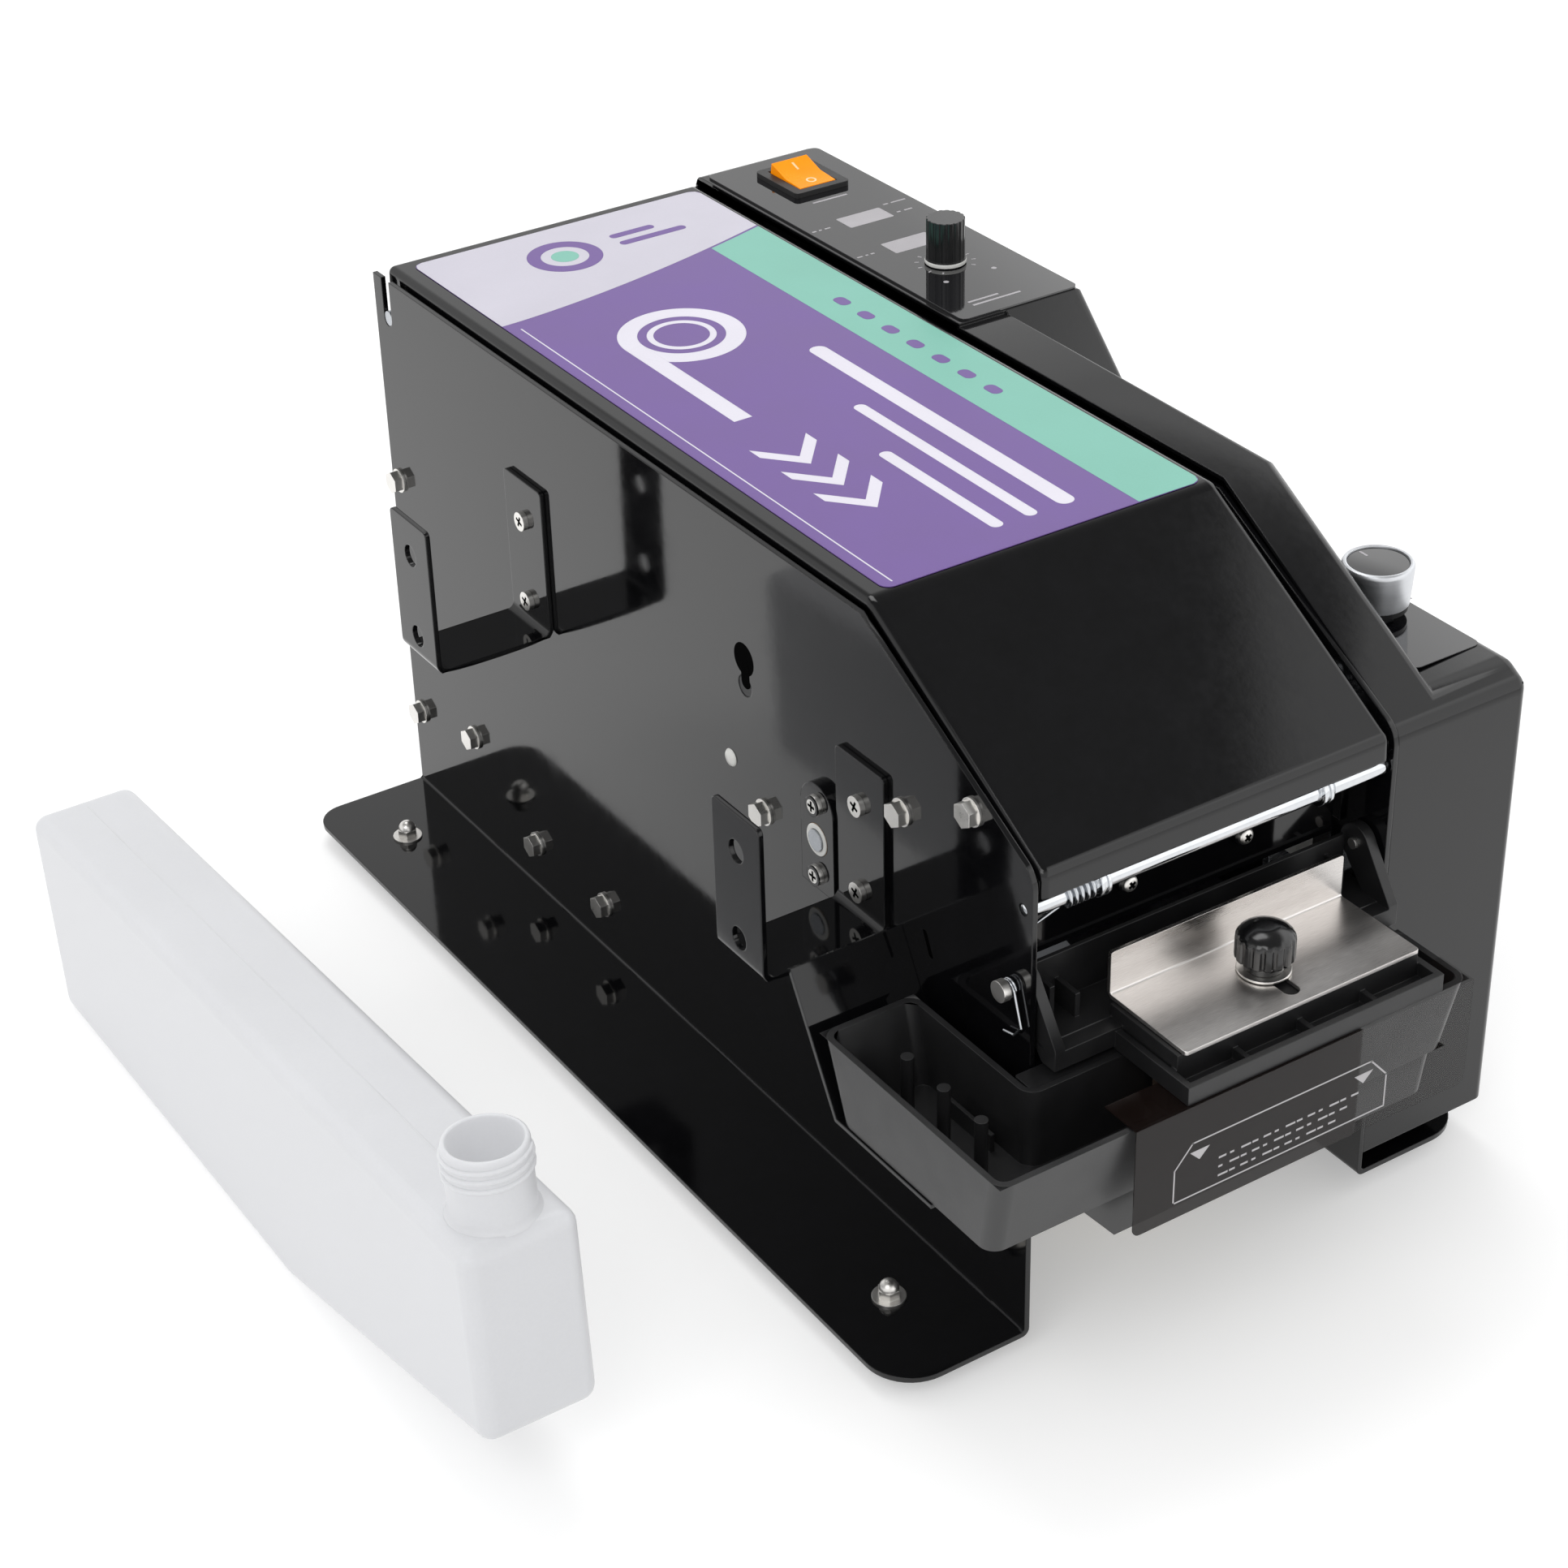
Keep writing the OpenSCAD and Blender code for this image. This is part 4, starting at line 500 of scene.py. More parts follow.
# ---------------------------------------------------------------------------
# Screw heads. Zinc plated pan heads on the left bearing plate and the outlet
# plate, and the cross recesses of these and of the bracket screws, drawn as painted shade.
# ---------------------------------------------------------------------------
def outer_face(name):
    """How far a node reaches out to the left, in machine mm."""
    return min(v.co.x for v in nodes[name].data.vertices) * 1000 + origin_x


def cross_recess(made, place, size=4.4):
    """The cross of painted shade in a recessed screw head."""
    prism(made, rectangle(-size / 2, size / 2, -0.5, 0.5), -0.1, 0.03, place)
    prism(made, rectangle(-0.5, 0.5, -size / 2, size / 2), -0.1, 0.036, place)


caps, crosses = bmesh.new(), bmesh.new()
plate_face, screw_face = outer_face("bearing_plates"), outer_face("bracket_screws")
for h in (132.2, 160.2):
    head = left_side(plate_face, 115.7, h)
    lathe(caps, [(3.82, -2.2), (3.82, -0.7), (3.4, -0.15), (2.4, 0.04), (0, 0.05)], head, 32)
    cross_recess(crosses, head @ Matrix.Translation((0, 0, 0.00004)), 4.0)
for y, z in ((91.5, 138.3), (91.5, 172.3), (314, 149.3), (314, 183.3)):
    cross_recess(crosses, left_side(screw_face, y, z) @ Matrix.Rotation(0.4, 4, "Z"))
for x in (50.5, 98.5):
    head = level(x, 15.8, 162.7) @ Matrix.Rotation(pi / 2, 4, "X")
    lathe(caps, [(0, -0.4), (2.9, -0.4), (2.9, 0.9), (2.6, 1.5), (1.8, 1.9), (0, 2.0)], head, 32)
    top = head @ Matrix.Translation((0, 0, 0.00199)) @ Matrix.Rotation(0.6, 4, "Z")
    cross_recess(crosses, top, 3.0)
piece("bearing_screw_heads", closed(caps), zinc, "frame", "zinc_steel")
piece("screw_recesses", closed(crosses), painted_hole_shade, "frame", "zinc_steel")

# ---------------------------------------------------------------------------
# Drive. A shaft in sintered bronze bushes carries the feed roller; the bushes
# end in a white nylon face outside. The gear motor's case is cast aluminium.
# ---------------------------------------------------------------------------
bronze = grained("sintered_bronze", "#a87b3f", "#bd8f50", 0.3, 0.004, (0.35, 0.5), 1.0)
coat(bronze, "feed_bushes")
bush_face = bmesh.new()
lathe(bush_face, [(4.1, -0.6), (5.7, -0.6), (5.95, -0.3), (5.95, 0.25), (5.7, 0.45), (4.3, 0.45),
                  (4.1, 0.3), (4.1, -0.6)],
      left_side(outer_face("feed_bushes"), 115.7, 146.2), 48)
piece("nylon_bush_face", closed(bush_face), nylon, "frame", "white_nylon")
cast = grained("cast_aluminium", "#8f9297", "#a5a8ac", 0.8, 0.02, (0.4, 0.55), 1.0)
coat(cast, "gear_motor")

# ---------------------------------------------------------------------------
# Cutter. A ground steel frame that a solenoid pulls down past a fixed blade. A
# wound wire spring on the solenoid lifts it; it is drawn at one length.
# ---------------------------------------------------------------------------
def wire_coil(made, place, radius, wire, turns, pitch):
    """Round wire in mm wound round the Z of place, both ends capped."""
    per_turn = 28
    first = place @ Matrix.Translation((radius / 1000, 0, 0)) @ Matrix.Rotation(pi / 2, 4, "X")
    start = bmesh.ops.create_circle(made, cap_ends=True, segments=10, radius=wire / 2000,
                                    matrix=first)["verts"]
    loop = list({e for v in start for e in v.link_edges})
    loop += list({f for v in start for f in v.link_faces})
    along = place.to_3x3() @ Vector((0, 0, 1))
    bmesh.ops.spin(made, geom=start + loop, cent=place.translation, axis=along,
                   dvec=along * pitch / (1000 * per_turn), angle=2 * pi * turns,
                   steps=int(turns * per_turn))


spring_wire = grained("bright_spring_wire", "#b9bcc1", "#d0d3d7", 0.4, 0.002, (0.14, 0.26), 1.0,
                      edge=0.0001)
winding = bmesh.new()
wire_coil(winding, level(74.5, 42.5, 78.9), 8.4, 1.4, 6, 4.7)
spring = piece("wound_return_spring", closed(winding), spring_wire, "frame", "bright_steel",
               "return_spring")
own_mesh(spring)
blade = grained("ground_tool_steel", "#9b9fa4", "#b9bcc0", 0.25, 0.002, (0.2, 0.32), 1.0,
                stretch=(1, 8, 8))
coat(blade, "fixed_blade", "cutter_frame")
passivated = grained("yellow_passivated_zinc", "#9d8a4e", "#b7a566", 2.0, 0.002, (0.25, 0.4), 1.0)
coat(passivated, "solenoid")

# ---------------------------------------------------------------------------
# Outlet. A folded plate, with an apron below it that closes the bay. The tape
# leaves under a chromed rod with two collars and a wire spring at its left end.
# ---------------------------------------------------------------------------
coat(powder_coat, "outlet_plate")
apron = bmesh.new()
prism(apron, rectangle(2, 147, 0.3, 24), 118.5, 120, level(0, 0, 0))
prism(apron, rectangle(2, 147, 0.3, 1.8), 98, 119.9, level(0, 0, 0))
piece("coated_bay_apron", closed(apron), powder_coat, "frame", "black_steel")


def rod(made, start, end, thick, steps=16):
    """A round rod between two points in mm."""
    a, b = at(*start), at(*end)
    facing = (b - a).to_track_quat("Z", "Y").to_matrix().to_4x4()
    bmesh.ops.create_cone(made, cap_ends=True, segments=steps, radius1=thick / 2000,
                          radius2=thick / 2000, depth=(b - a).length,
                          matrix=Matrix.Translation((a + b) / 2) @ facing)


chrome = grained("chrome_plate", "#d0d3d6", "#dcdee1", 1.5, 0.001, (0.05, 0.09), 1.0)
across_bay = level(0, 5, 178) @ Matrix.Rotation(pi / 2, 4, "Y")
bar = bmesh.new()
lathe(bar, [(0, 0.3), (1.7, 0.3), (2.0, 0.6), (2.0, 3.0), (3.0, 3.0), (3.4, 3.4), (3.4, 25.4),
            (2.9, 25.6), (2.9, 26.2), (3.4, 26.4), (3.4, 123), (2.9, 123.2), (2.9, 123.8),
            (3.4, 124), (3.4, 145.6), (3.0, 146), (2.0, 146), (2.0, 148.4), (1.7, 148.7),
            (0, 148.7)], across_bay, 48)
for x in (27.0, 118.0):
    lathe(bar, [(3.2, x), (5.0, x), (5.2, x + 0.2), (5.2, x + 1.2), (4.6, x + 1.4), (4.6, x + 2.6),
                (5.2, x + 2.8), (5.2, x + 3.8), (5.0, x + 4), (3.2, x + 4), (3.2, x)],
          across_bay, 48)
piece("chromed_outlet_rod", closed(bar), chrome, "frame", "chrome_rod", "outlet_rod")
coiled = bmesh.new()
wire_coil(coiled, level(13.8, 5, 178) @ Matrix.Rotation(pi / 2, 4, "Y"), 4.15, 1.3, 5, 2.3)
rod(coiled, (13.8, 5, 173.85), (4.5, 9.5, 166.0), 1.3)
rod(coiled, (25.3, 5, 173.85), (26.2, 13.5, 172.8), 1.3)
piece("outlet_rod_spring", closed(coiled), spring_wire, "frame", "bright_steel")

# ---------------------------------------------------------------------------
# Control box. A folded steel case down the right side, in the gloss coat, with
# a tall rear part for the controls and a low shelf in front.
# ---------------------------------------------------------------------------
box = copy_of("control_box")


def on_box_skin(e):
    """The outer folds of the case, but not the ones against the side plate."""
    x, y, z = mid(e)
    if not e.is_convex:
        return False
    if runs(e, 0):
        front = (near(y, 0) and z > 191) or (near(y, 9) and z > 196.9)
        return front or (y > 429.9 and z > 247)
    right_side = near(x, 207) and (z > 19 or runs(e, 2))
    return right_side or (near(x, 172) and z > 197.1)


rounded(box, 4.2, 7, on_box_skin, sharper=15, held=False)
rounded(box, 0.3, 2)
piece("coated_control_box", box, powder_coat, "frame", "black_steel", "control_box", creases=60)

# ---------------------------------------------------------------------------
# Length knob. Hard gloss black phenolic with flutes, on a white nylon ring.
# ---------------------------------------------------------------------------
phenolic = grained("black_phenolic", "#0c0c0d", "#101011", 0.8, 0.003, (0.12, 0.22), ior=1.6)
panel_z = 248.8
knob = copy_of("length_knob")
knob_rim = 0.2665
rounded(knob, 0.5, 3, lambda e: min(v.co.z for v in e.verts) > knob_rim)
piece("fluted_length_knob", knob, phenolic, "length_knob", "black_plastic", "length_knob",
      creases=25)
skirt = bmesh.new()
lathe(skirt, [(7.4, 0.35), (8.05, 0.4), (8.15, 0.8), (8.15, 1.7), (7.9, 2.1), (7.4, 2.2),
              (7.4, 0.35)], level(177.6, 293.7, panel_z), 64)
piece("length_knob_ring", closed(skirt), nylon, "length_knob", "white_nylon")

# ---------------------------------------------------------------------------
# Mode knob. Satin turned aluminium with a hollow top that holds a gloss disc
# with a pointer, on a black foot ring.
# ---------------------------------------------------------------------------
# Gloss overlay film, and the pale grey that is printed on it
overlay = grained("gloss_overlay", "#0d0d10", "#121215", 0.5, 0.001, (0.03, 0.07), ior=1.86,
                  blot=40)
pale_print = grained("pale_grey_print", "#a3a0a4", "#b4b1b5", 0.4, 0.004, (0.4, 0.5))
satin = grained("satin_turned_aluminium", "#d2d4d8", "#dddfe2", 0.3, 0.004, (0.36, 0.46), 1.0,
                stretch=(1, 1, 6))
mode_axis = level(189.5, 58, 200)
turned_knob = bmesh.new()
lathe(turned_knob, [(0, -3), (3, -3), (3, 2), (11.3, 2), (11.6, 2.3), (12.1, 9), (12.5, 15.6),
                    (12.45, 16.4), (12.1, 17.1), (11.5, 17.4), (10.9, 17.3), (10.7, 16.9),
                    (10.7, 16.2), (0, 16.2)], mode_axis, 96)
piece("turned_mode_knob", closed(turned_knob), satin, "mode_knob", "knob_aluminium", "mode_knob",
      creases=30)
foot_ring = bmesh.new()
ring(foot_ring, 11.2, 3, 0.1, 2.0, mode_axis, 96)
piece("mode_knob_foot", closed(foot_ring), phenolic, "mode_knob", "black_plastic")
cap = bmesh.new()
lathe(cap, [(0, 16.75), (10.2, 16.75), (10.6, 16.6), (10.6, 16.1), (0, 16.1)], mode_axis, 96)
piece("mode_knob_disc", closed(cap), overlay, "mode_knob", "black_plastic")
pointer = bmesh.new()
prism(pointer, rectangle(-0.5, 0.5, 5.5, 9.6), 16.7, 16.8, mode_axis)
piece("mode_knob_pointer", closed(pointer), pale_print, "mode_knob", "black_plastic")

# ---------------------------------------------------------------------------
# Overlays. Dark polyester sheets on the box's top and shelf, glossy enough to
# mirror the knobs, printed pale grey: two display windows, a scale round each
# knob, dashes and dots.
# ---------------------------------------------------------------------------
coat(overlay, "control_panel", "mode_panel")
marks = bmesh.new()
shelf_z = 197.4
panel_top = level(0, 0, panel_z)
under = -0.05


def bars(made, place, *boxes, corner=0.0):
    """Flat printed bars from (x0, x1, y0, y1) in mm."""
    for sides in boxes:
        prism(made, rectangle(*sides), under, ink, place, corner)


def scale(made, centre, inner, outer, width, count, sweep):
    """Printed ticks round a knob, over a sweep in degrees that is open to the front."""
    for k in range(count):
        turned = radians(-90 + (360 - sweep) / 2 + sweep * k / (count - 1))
        spoke = centre @ Matrix.Rotation(turned, 4, "Z")
        prism(made, rectangle(inner, outer, -width / 2, width / 2), under, ink, spoke)


bars(marks, panel_top, (167.4, 188.2, 343.2, 354.2), (167.2, 188.4, 311.6, 322.8), corner=0.8)
bars(marks, panel_top, (152.5, 154.5, 348, 349), (155.7, 157, 348, 349), (158.4, 161, 348, 349),
     (152.5, 155, 316.6, 317.6), (156.4, 157.6, 316.6, 317.6), (158.8, 160.6, 316.6, 317.6),
     (191.2, 193.6, 355, 356), (195, 202, 355, 356), (191.2, 193, 345.4, 346.4),
     (194.8, 198.6, 345.4, 346.4), (169.5, 186, 373.0, 374.2), (162, 184, 253.6, 254.8),
     (162, 176, 256.8, 258))
scale(marks, level(177.6, 293.7, panel_z), 10.2, 12.0, 0.7, 11, 280)
for x in (189.1, 166.6):
    disc(marks, 1.1, under, ink, level(x, 277.9, panel_z), 20)
scale(marks, level(189.5, 58, shelf_z), 14.6, 17.0, 0.8, 7, 180)
piece("panel_print", closed(marks), pale_print, "frame", "panel_grey")

# ---------------------------------------------------------------------------
# Electrical parts. Moulded black plastic bezel and inlet, plated switch cans
# behind the knobs, and a green circuit board in the box.
# ---------------------------------------------------------------------------
moulded = grained("black_moulded_plastic", "#1b1b1c", "#222223", 0.4, 0.012, (0.38, 0.52),
                  ior=1.49)
coat(moulded, "rocker_bezel", "power_inlet")
plated = grained("plated_switch_can", "#7c7f83", "#94979b", 0.5, 0.003, (0.3, 0.45), 1.0)
coat(plated, "length_control", "mode_switch")
board = grained("green_circuit_board", "#14502a", "#1c6636", 1.2, 0.01, (0.3, 0.45))
coat(board, "control_board")

# ---------------------------------------------------------------------------
# Rocker. Clear amber polycarbonate, a little lit from inside, with a pale I on
# its rear half and an O on its front half.
# ---------------------------------------------------------------------------
amber = grained("amber_rocker", "#ee8f00", "#f69a02", 1.0, 0.003, (0.2, 0.3))
tune(amber, {"Emission Color": srgb("#ff7a00"), "Emission Strength": 0.22,
             "Specular IOR Level": 0.2})
button = copy_of("power_rocker")
rounded(button, 0.6, 3)
piece("amber_rocker_button", button, amber, "rocker", "orange_plastic", "power_rocker", creases=30)
tilted = level(179.5, 396.3, 248.8) @ Matrix.Rotation(radians(11), 4, "X")
rear_half, front_half = (
    tilted @ Matrix.Translation((0, 0, 0.003)) @ Matrix.Rotation(side * atan2(1.4, 10.8), 4, "X")
    for side in (1, -1)
)
on_off = bmesh.new()
prism(on_off, rectangle(-0.5, 0.5, 3.6, 8.4), under, ink, rear_half)
ring(on_off, 2.2, 1.4, under, ink, front_half @ Matrix.Translation((0, -0.006, 0)), 32)
mark_white = grained("pale_rocker_mark", "#ffd9a0", "#ffe2b4", 0.5, 0.002, (0.3, 0.4))
piece("rocker_marks", closed(on_off), mark_white, "rocker", "orange_plastic")

# ---------------------------------------------------------------------------
# Bottle brackets. Two U-shaped strips of 2 mm coated steel, screwed to the left
# plate, that hold the bottle upside down over the tray.
# ---------------------------------------------------------------------------
def combined(base, tool, how):
    """One mesh from two: their UNION, or the DIFFERENCE."""
    pair = []
    for shape in (base, tool):
        mesh = bpy.data.meshes.new("spare")
        shape.to_mesh(mesh)
        shape.free()
        pair.append(bpy.data.objects.new("spare", mesh))
        scene.collection.objects.link(pair[-1])
    step = pair[0].modifiers.new("step", "BOOLEAN")
    step.solver, step.operation, step.object = "EXACT", how, pair[1]
    result = bmesh.new()
    result.from_object(pair[0], bpy.context.evaluated_depsgraph_get())
    for thing in pair:
        mesh = thing.data
        bpy.data.objects.remove(thing)
        bpy.data.meshes.remove(mesh)
    return result


# The strip's section is drawn as seen from the front: X right, Y up, Z towards the viewer
section = level(0, 0, 0) @ Matrix(((1, 0, 0, 0), (0, 0, -1, 0), (0, 1, 0, 0), (0, 0, 0, 1)))
strip_width = 28
strips, holes = bmesh.new(), bmesh.new()
for y0, low in ((77.5, 127), (300, 138)):
    prism(strips, [(-50, low + 60), (-50, low), (0, low), (0, low + 62), (-2, low + 62),
                   (-2, low + 2), (-48, low + 2), (-48, low + 60)], -y0 - strip_width, -y0,
          section)
    for h in (11.3, 45.3):
        disc(holes, 4.3, 46, 52, left_side(0, y0 + strip_width / 2, low + h), 32)
closed(strips)
rounded(strips, 5.0, 7, lambda e: runs(e, 1) and e.is_convex and mid(e)[2] < 139, held=False)
rounded(strips, 3.0, 6, lambda e: runs(e, 1) and not e.is_convex and mid(e)[2] < 141, held=False)
rounded(strips, 2.0, 4, lambda e: runs(e, 0) and e.calc_length() < 0.0021, held=False)
rounded(strips, 0.3, 2)
strips = combined(strips, closed(holes), "DIFFERENCE")
piece("coated_brackets", strips, powder_coat, "frame", "black_steel", "bottle_brackets")

# ---------------------------------------------------------------------------
# Tray. Matt black moulded plastic, drafted, with rounded corners and a thick
# rear wall to its trough, on a coated shelf. The brush in it is brown bristle.
# ---------------------------------------------------------------------------
coat(powder_coat, "tray_shelf")
tray_plastic = grained("matt_tray_plastic", "#19191a", "#1f1f20", 0.6, 0.012, (0.3, 0.42),
                       ior=1.62)
tray = copy_of("water_tray")
corners = ((-44.5, -44.5), (-44.5, 53), (-7.5, 53), (146, -44.5), (146, -10), (-7.5, -10),
           (6, -37.5), (6, -26), (138, -37.5), (138, -26))


def at_corner(e):
    """The tray's standing corner edges."""
    x, y, z = mid(e)
    nearest = min(hypot(x - a, y - b) for a, b in corners)
    return runs(e, 2) and e.calc_length() > 0.011 and nearest < 10


rounded(tray, 6.0, 7, lambda e: at_corner(e) and e.is_convex)
rounded(tray, 4.0, 6, lambda e: at_corner(e) and not e.is_convex)
rounded(tray, 0.4, 2)
prism(tray, rectangle(-6.5, 145, -10.4, -0.6), 95, 120.6, level(0, 0, 0), 1.0)
piece("moulded_tray", tray, tray_plastic, "tray", "tray_plastic", "water_tray", creases=40)
bristle = grained("brown_bristle", "#2b211a", "#4a3a2d", 0.4, 0.3, (0.6, 0.8),
                  stretch=(1, 1, 0.1))
coat(bristle, "wetting_brush")

# ---------------------------------------------------------------------------
# Brush cover. Black moulded plastic with a rear wall, a web and three fins
# behind its steel plate, on two pivot bolts; a torsion spring on the left one
# holds it down.
# ---------------------------------------------------------------------------
cover_plastic = grained("moulded_cover_plastic", "#161617", "#1d1d1e", 0.5, 0.012, (0.34, 0.5),
                        ior=1.52)
rear_wall, web = (7.5, 141.5, 13.9, 15.6, 128.2, 148), (3, 146, -3, 15.6, 128.2, 130)
fins = ((12, 14, 6, 14.1, 129.5, 143), (20, 22, 3, 14.1, 129.5, 139),
        (133, 135, 6, 14.1, 129.5, 143))
lid = copy_of("brush_cover")
for x0, x1, y0, y1, z0, z1 in (rear_wall, web, *fins):
    prism(lid, rectangle(x0, x1, y0, y1), z0, z1, level(0, 0, 0))
closed(lid)
rounded(lid, 0.5, 2)
piece("moulded_brush_cover", lid, cover_plastic, "brush_cover", "black_plastic", "brush_cover")
hooked = bmesh.new()
wire_coil(hooked, level(-2.3, 9.9, 146.4) @ Matrix.Rotation(pi / 2, 4, "Y"), 2.9, 1.0, 1.8, 1.0)
rod(hooked, (-1.4, 7.0, 147.2), (-1.4, 3.0, 134.5), 1.0)
rod(hooked, (-1.4, 3.0, 134.6), (-1.4, 6.6, 129.8), 1.0)
rod(hooked, (-1.4, 6.6, 129.9), (-1.4, 12.0, 128.6), 1.0)
piece("cover_torsion_spring", closed(hooked), spring_wire, "frame", "bright_steel", "cover_spring")

# ---------------------------------------------------------------------------
# Steel plate on the brush cover. 1.5 mm brushed stainless sheet with a folded
# upstand.
# ---------------------------------------------------------------------------
brushed = grained("brushed_stainless", "#c0bbb8", "#f8f5f2", 0.25, 0.007, (0.2, 0.42), 1.0,
                  stretch=(0.05, 1, 1), blot=18)
strip = copy_of("steel_plate")
rounded(strip, 2.0, 5, lambda e: runs(e, 0) and near(mid(e)[1], 1.5) and mid(e)[2] < 135)
rounded(strip, 0.8, 3, lambda e: runs(e, 0) and near(mid(e)[1], 0.0) and near(mid(e)[2], 136))
rounded(strip, 1.2, 3,
        lambda e: 0.0014 < e.calc_length() < 0.00155 and abs(mid(e)[0] - 80) > 48)
rounded(strip, 0.15, 2)
piece("brushed_steel_plate", strip, brushed, "steel_plate", "stainless_plate", "steel_plate",
      creases=30)

# ---------------------------------------------------------------------------
# Thumb knob. A fluted phenolic grip with a domed top, on a bright washer and a
# screw, that clamps the steel plate.
# ---------------------------------------------------------------------------
knob_axis = level(80, -17.8, 136.3)
flutes = 16
rings = [(9.2, 5.0, 0.7), (9.8, 5.6, 0.8), (9.9, 6.2, 0.8), (9.9, 12.2, 0.8), (9.8, 13.2, 0.5),
         (9.4, 14.0, 0.15), (8.6, 14.9, 0), (7.2, 15.8, 0), (5.0, 16.6, 0), (2.5, 17.0, 0)]
grip = bmesh.new()
loops = []
for r, h, flute in rings:
    loop = bmesh.ops.create_circle(grip, cap_ends=False, segments=128, radius=r / 1000,
                                   matrix=knob_axis @ Matrix.Translation((0, 0, h / 1000)))
    for v in loop["verts"]:
        out = v.co - knob_axis.translation
        swell = max(0.0, cos(flutes * atan2(out.y, out.x)))
        v.co -= Vector((out.x, out.y, 0)).normalized() * (flute * swell ** 0.6 / 1000)
    loops.append(list({e for v in loop["verts"] for e in v.link_edges}))
for low, high in zip(loops, loops[1:]):
    bmesh.ops.bridge_loops(grip, edges=low + high)
bmesh.ops.holes_fill(grip, edges=loops[0] + loops[-1], sides=0)
lathe(grip, [(0, 1), (6.2, 1), (6.5, 1.3), (6.5, 5.3), (0, 5.3)], knob_axis, 48)
piece("domed_thumb_grip", closed(grip), phenolic, "thumb_knob", "black_plastic", "thumb_knob",
      creases=35)
washer = bmesh.new()
lathe(washer, [(2.6, 0), (8.8, 0), (9, 0.2), (9, 0.8), (8.8, 1), (2.6, 1), (2.6, 0)], knob_axis,
      64)
lathe(washer, [(0, -11.6), (2.2, -11.6), (2.5, -11.3), (2.5, 0.9), (0, 0.9)], knob_axis, 24)
piece("thumb_knob_washer", closed(washer), zinc, "thumb_knob", "bright_steel")

# ---------------------------------------------------------------------------
# Splash film. A clear sheet that hangs in front of the tray, its left two
# thirds smoked dark, with a warning outline, two arrows and dashes in white.
# ---------------------------------------------------------------------------
smoked = grained("smoked_clear_film", "#140d0b", "#17100e", 8.0, 0.002, (0.08, 0.14), edge=0.00003)
tree = smoked.node_tree
place = add(tree, "ShaderNodeTexCoord").outputs["Object"]
from_left = add(tree, "ShaderNodeSeparateXYZ", {0: place}).outputs["X"]
tint = ramp(tree, from_left, 0.0876, 0.0884, 0.8, 0.12)
shader = tune(smoked, {"Specular IOR Level": 0.3})
tree.links.new(tint, shader.inputs["Alpha"])
sheet = copy_of("splash_film")
# Its front face steps back a little, so that the print on it stays inside the CAD's box
film_front, step_back = -0.23925, 0.00006
for v in sheet.verts:
    if abs(v.co.y - film_front) < 1e-6:
        v.co.y += step_back
rounded(sheet, 3.0, 5, lambda e: runs(e, 1) and mid(e)[2] < 90)
piece("smoked_splash_film", sheet, smoked, "brush_cover", "clear_film", "splash_film")

on_film = level(0, -46.46, 0) @ Matrix.Rotation(pi / 2, 4, "X")
film_print = bmesh.new()
outline = [(22, 86), (22, 99), (29, 107), (103, 107), (110, 99), (110, 86)]
for (x0, y0), (x1, y1) in zip(outline, outline[1:] + outline[:1]):
    long = hypot(x1 - x0, y1 - y0)
    spoke = (on_film @ Matrix.Translation((x0 / 1000, y0 / 1000, 0))
             @ Matrix.Rotation(atan2(y1 - y0, x1 - x0), 4, "Z"))
    prism(film_print, rectangle(-0.3, long + 0.3, -0.3, 0.3), 0, ink, spoke)
for x in (32, 100):
    prism(film_print, [(x - 4, 103.5), (x, 99.5), (x + 4, 103.5)], 0, ink, on_film)
for row in range(3):
    for k in range(13 - row):
        long = (3.1, 1.7, 4.0, 2.4)[(k + row) % 4]
        x, y = 40 + 4.6 * k, 96 - 3.6 * row
        prism(film_print, rectangle(x, x + long, y, y + 0.8), 0, ink, on_film)
film_ink = grained("white_film_ink", "#b9b6b8", "#c8c6c8", 0.4, 0.002, (0.4, 0.5))
piece("film_print", closed(film_print), film_ink, "brush_cover", "clear_film")

# ---------------------------------------------------------------------------
# Bottle. Blow-moulded natural polyethylene with a threaded neck, standing
# beside the machine; a painted glow stands in for the light that comes through its
# thin walls.
# ---------------------------------------------------------------------------
glowing_milky = grained("milky_polyethylene_painted_glow", "#b4b5b8", "#babbbe", 1.2, 0.01, (0.36, 0.46), ior=1.51,
                blot=60)
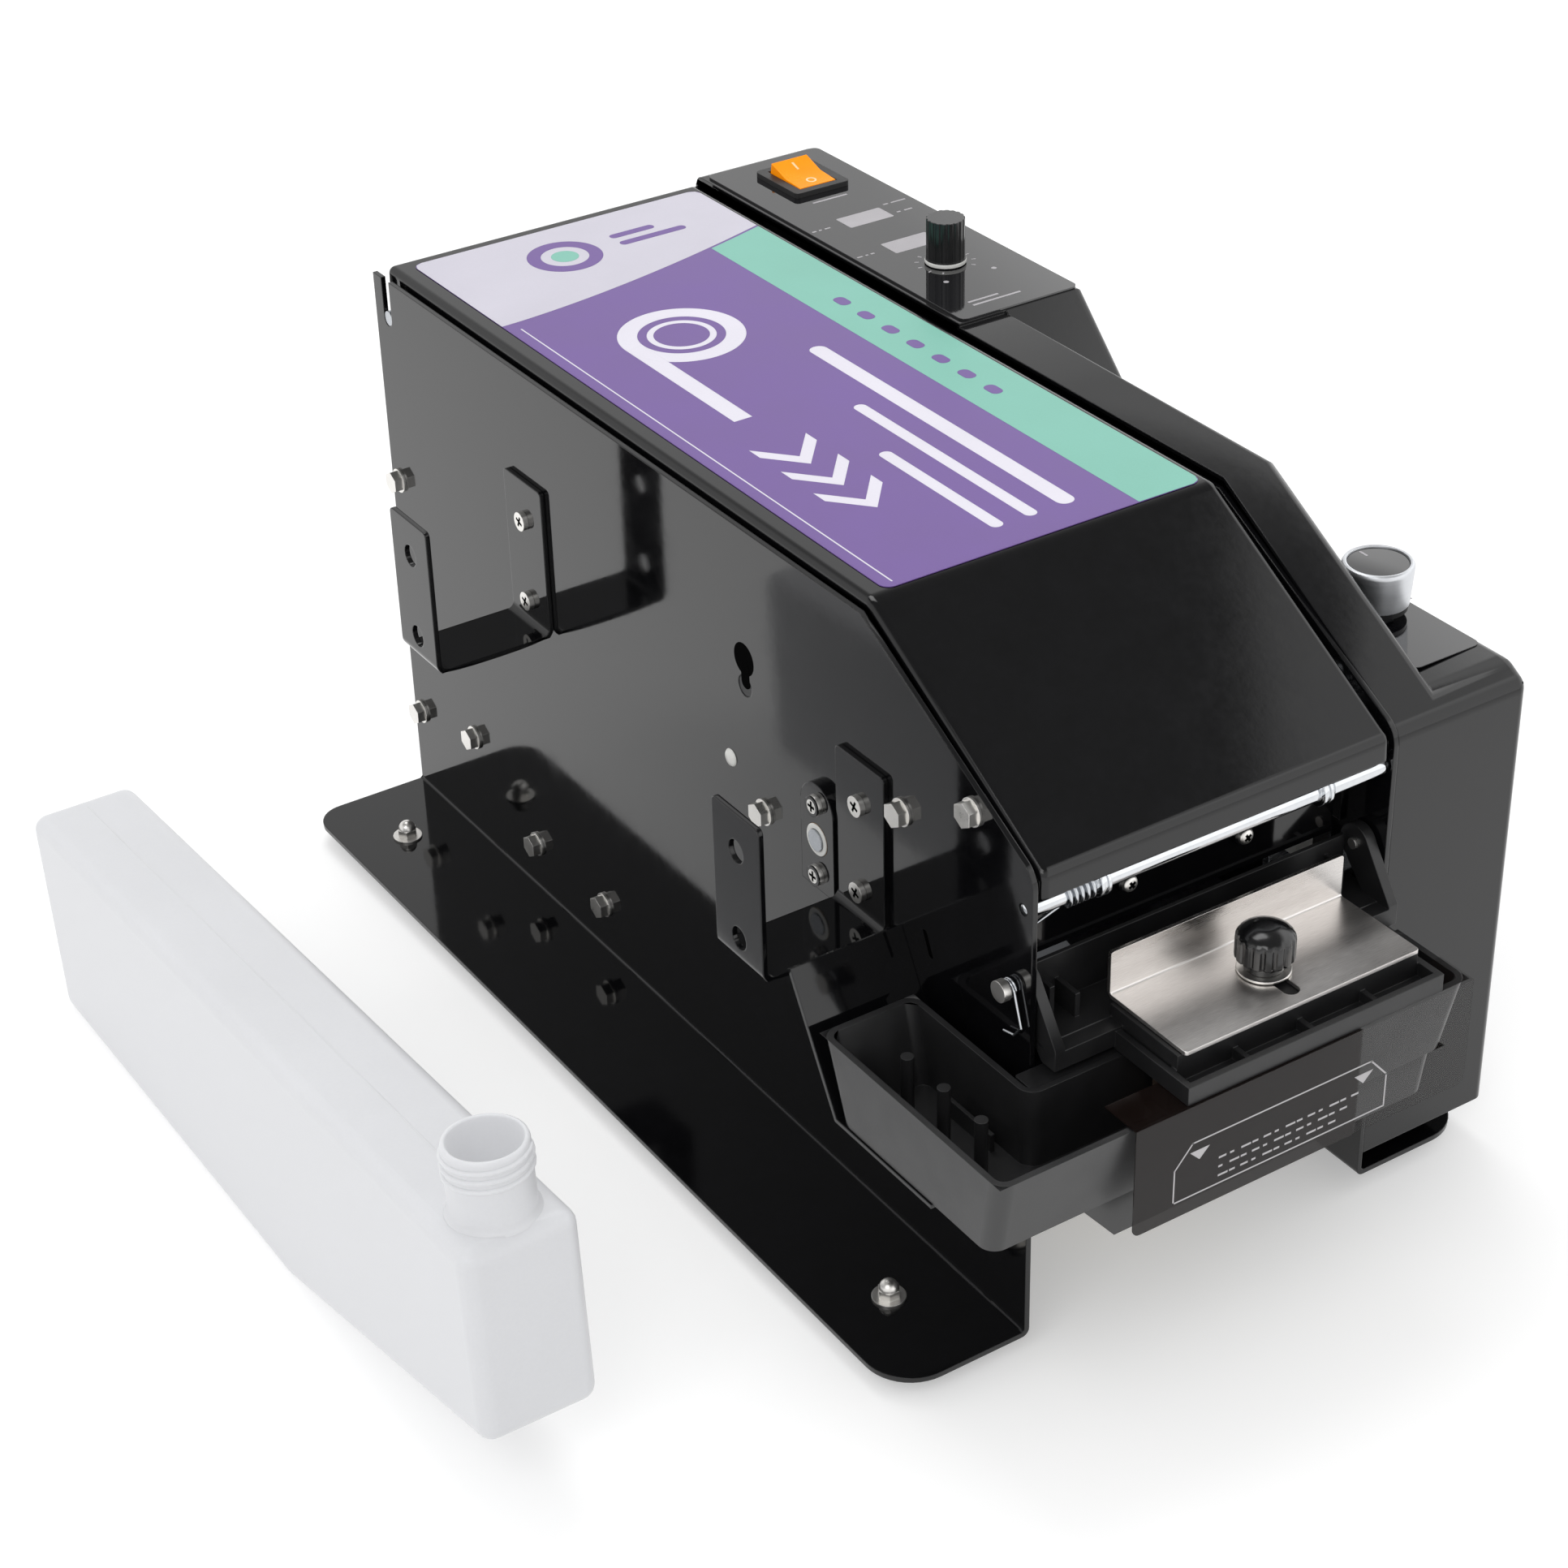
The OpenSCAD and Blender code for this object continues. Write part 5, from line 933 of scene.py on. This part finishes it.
# Painted glow: the emission lifts the whole bottle, its shaded side most, as light through its
# walls would
tune(glowing_milky, {"Subsurface Weight": 0.5, "Subsurface Radius": (1.0, 1.0, 1.0),
             "Subsurface Scale": 0.004, "Emission Color": srgb("#f8f8f9"),
             "Emission Strength": 0.24})
# Its own frame lies along its top, Y along it and Z up through the neck, and leans so that it
# stands on its knee
leaning = level(-187, 33.3, 108.8) @ Matrix.Rotation(radians(-3.932), 4, "X")
sideways = Matrix(((0, 0, 1, 0), (1, 0, 0, 0), (0, 1, 0, 0), (0, 0, 0, 1)))
width, wall, bore = 41.6, 1.6, 12.05
skins = []
for inset, corner in ((0, 5.5), (wall, 4.0)):
    skin = bmesh.new()
    prism(skin, [(inset, -inset), (350 - inset, -inset), (350 - inset, inset - 85),
                 (150.7, inset - 98.7), (inset, inset - 73)], inset, width - inset,
          leaning @ sideways)
    closed(skin)
    rounded(skin, corner, 6, sharper=5, held=False)
    skins.append(skin)
outer_skin, inner_skin = skins
# The mould's parting line stands up a little along the top
seam = bmesh.new()
prism(seam, [(8, 0.1), (342, 0.1), (342, -3), (8, -3)], width / 2 - 0.25, width / 2 + 0.25,
      leaning @ sideways)
neck_axis = leaning @ Matrix.Translation((width / 2000, 0.018, 0))
neck = bmesh.new()
lathe(neck, [(0, -5), (15.6, -5), (15.6, -0.6), (15.2, 0.5), (14.25, 1.6), (14.0, 3),
             (14.0, 24.6), (13.7, 25.6), (13.1, 26), (0, 26)], neck_axis, 72)
thread = bmesh.new()
wire_coil(thread, neck_axis @ Matrix.Translation((0, 0, 0.0135)), 14.1, 1.7, 2.9, 3.4)
mouth = bmesh.new()
lathe(mouth, [(0, -8), (bore, -8), (bore, 25.3), (12.6, 26.1), (12.6, 28), (0, 28)], neck_axis, 72)
flask = combined(outer_skin, closed(seam), "UNION")
flask = combined(flask, closed(neck), "UNION")
flask = combined(flask, closed(thread), "UNION")
flask = combined(flask, inner_skin, "DIFFERENCE")
flask = combined(flask, closed(mouth), "DIFFERENCE")
piece("blown_bottle", flask, glowing_milky, "bottle", "bottle_white", "water_bottle", creases=60)
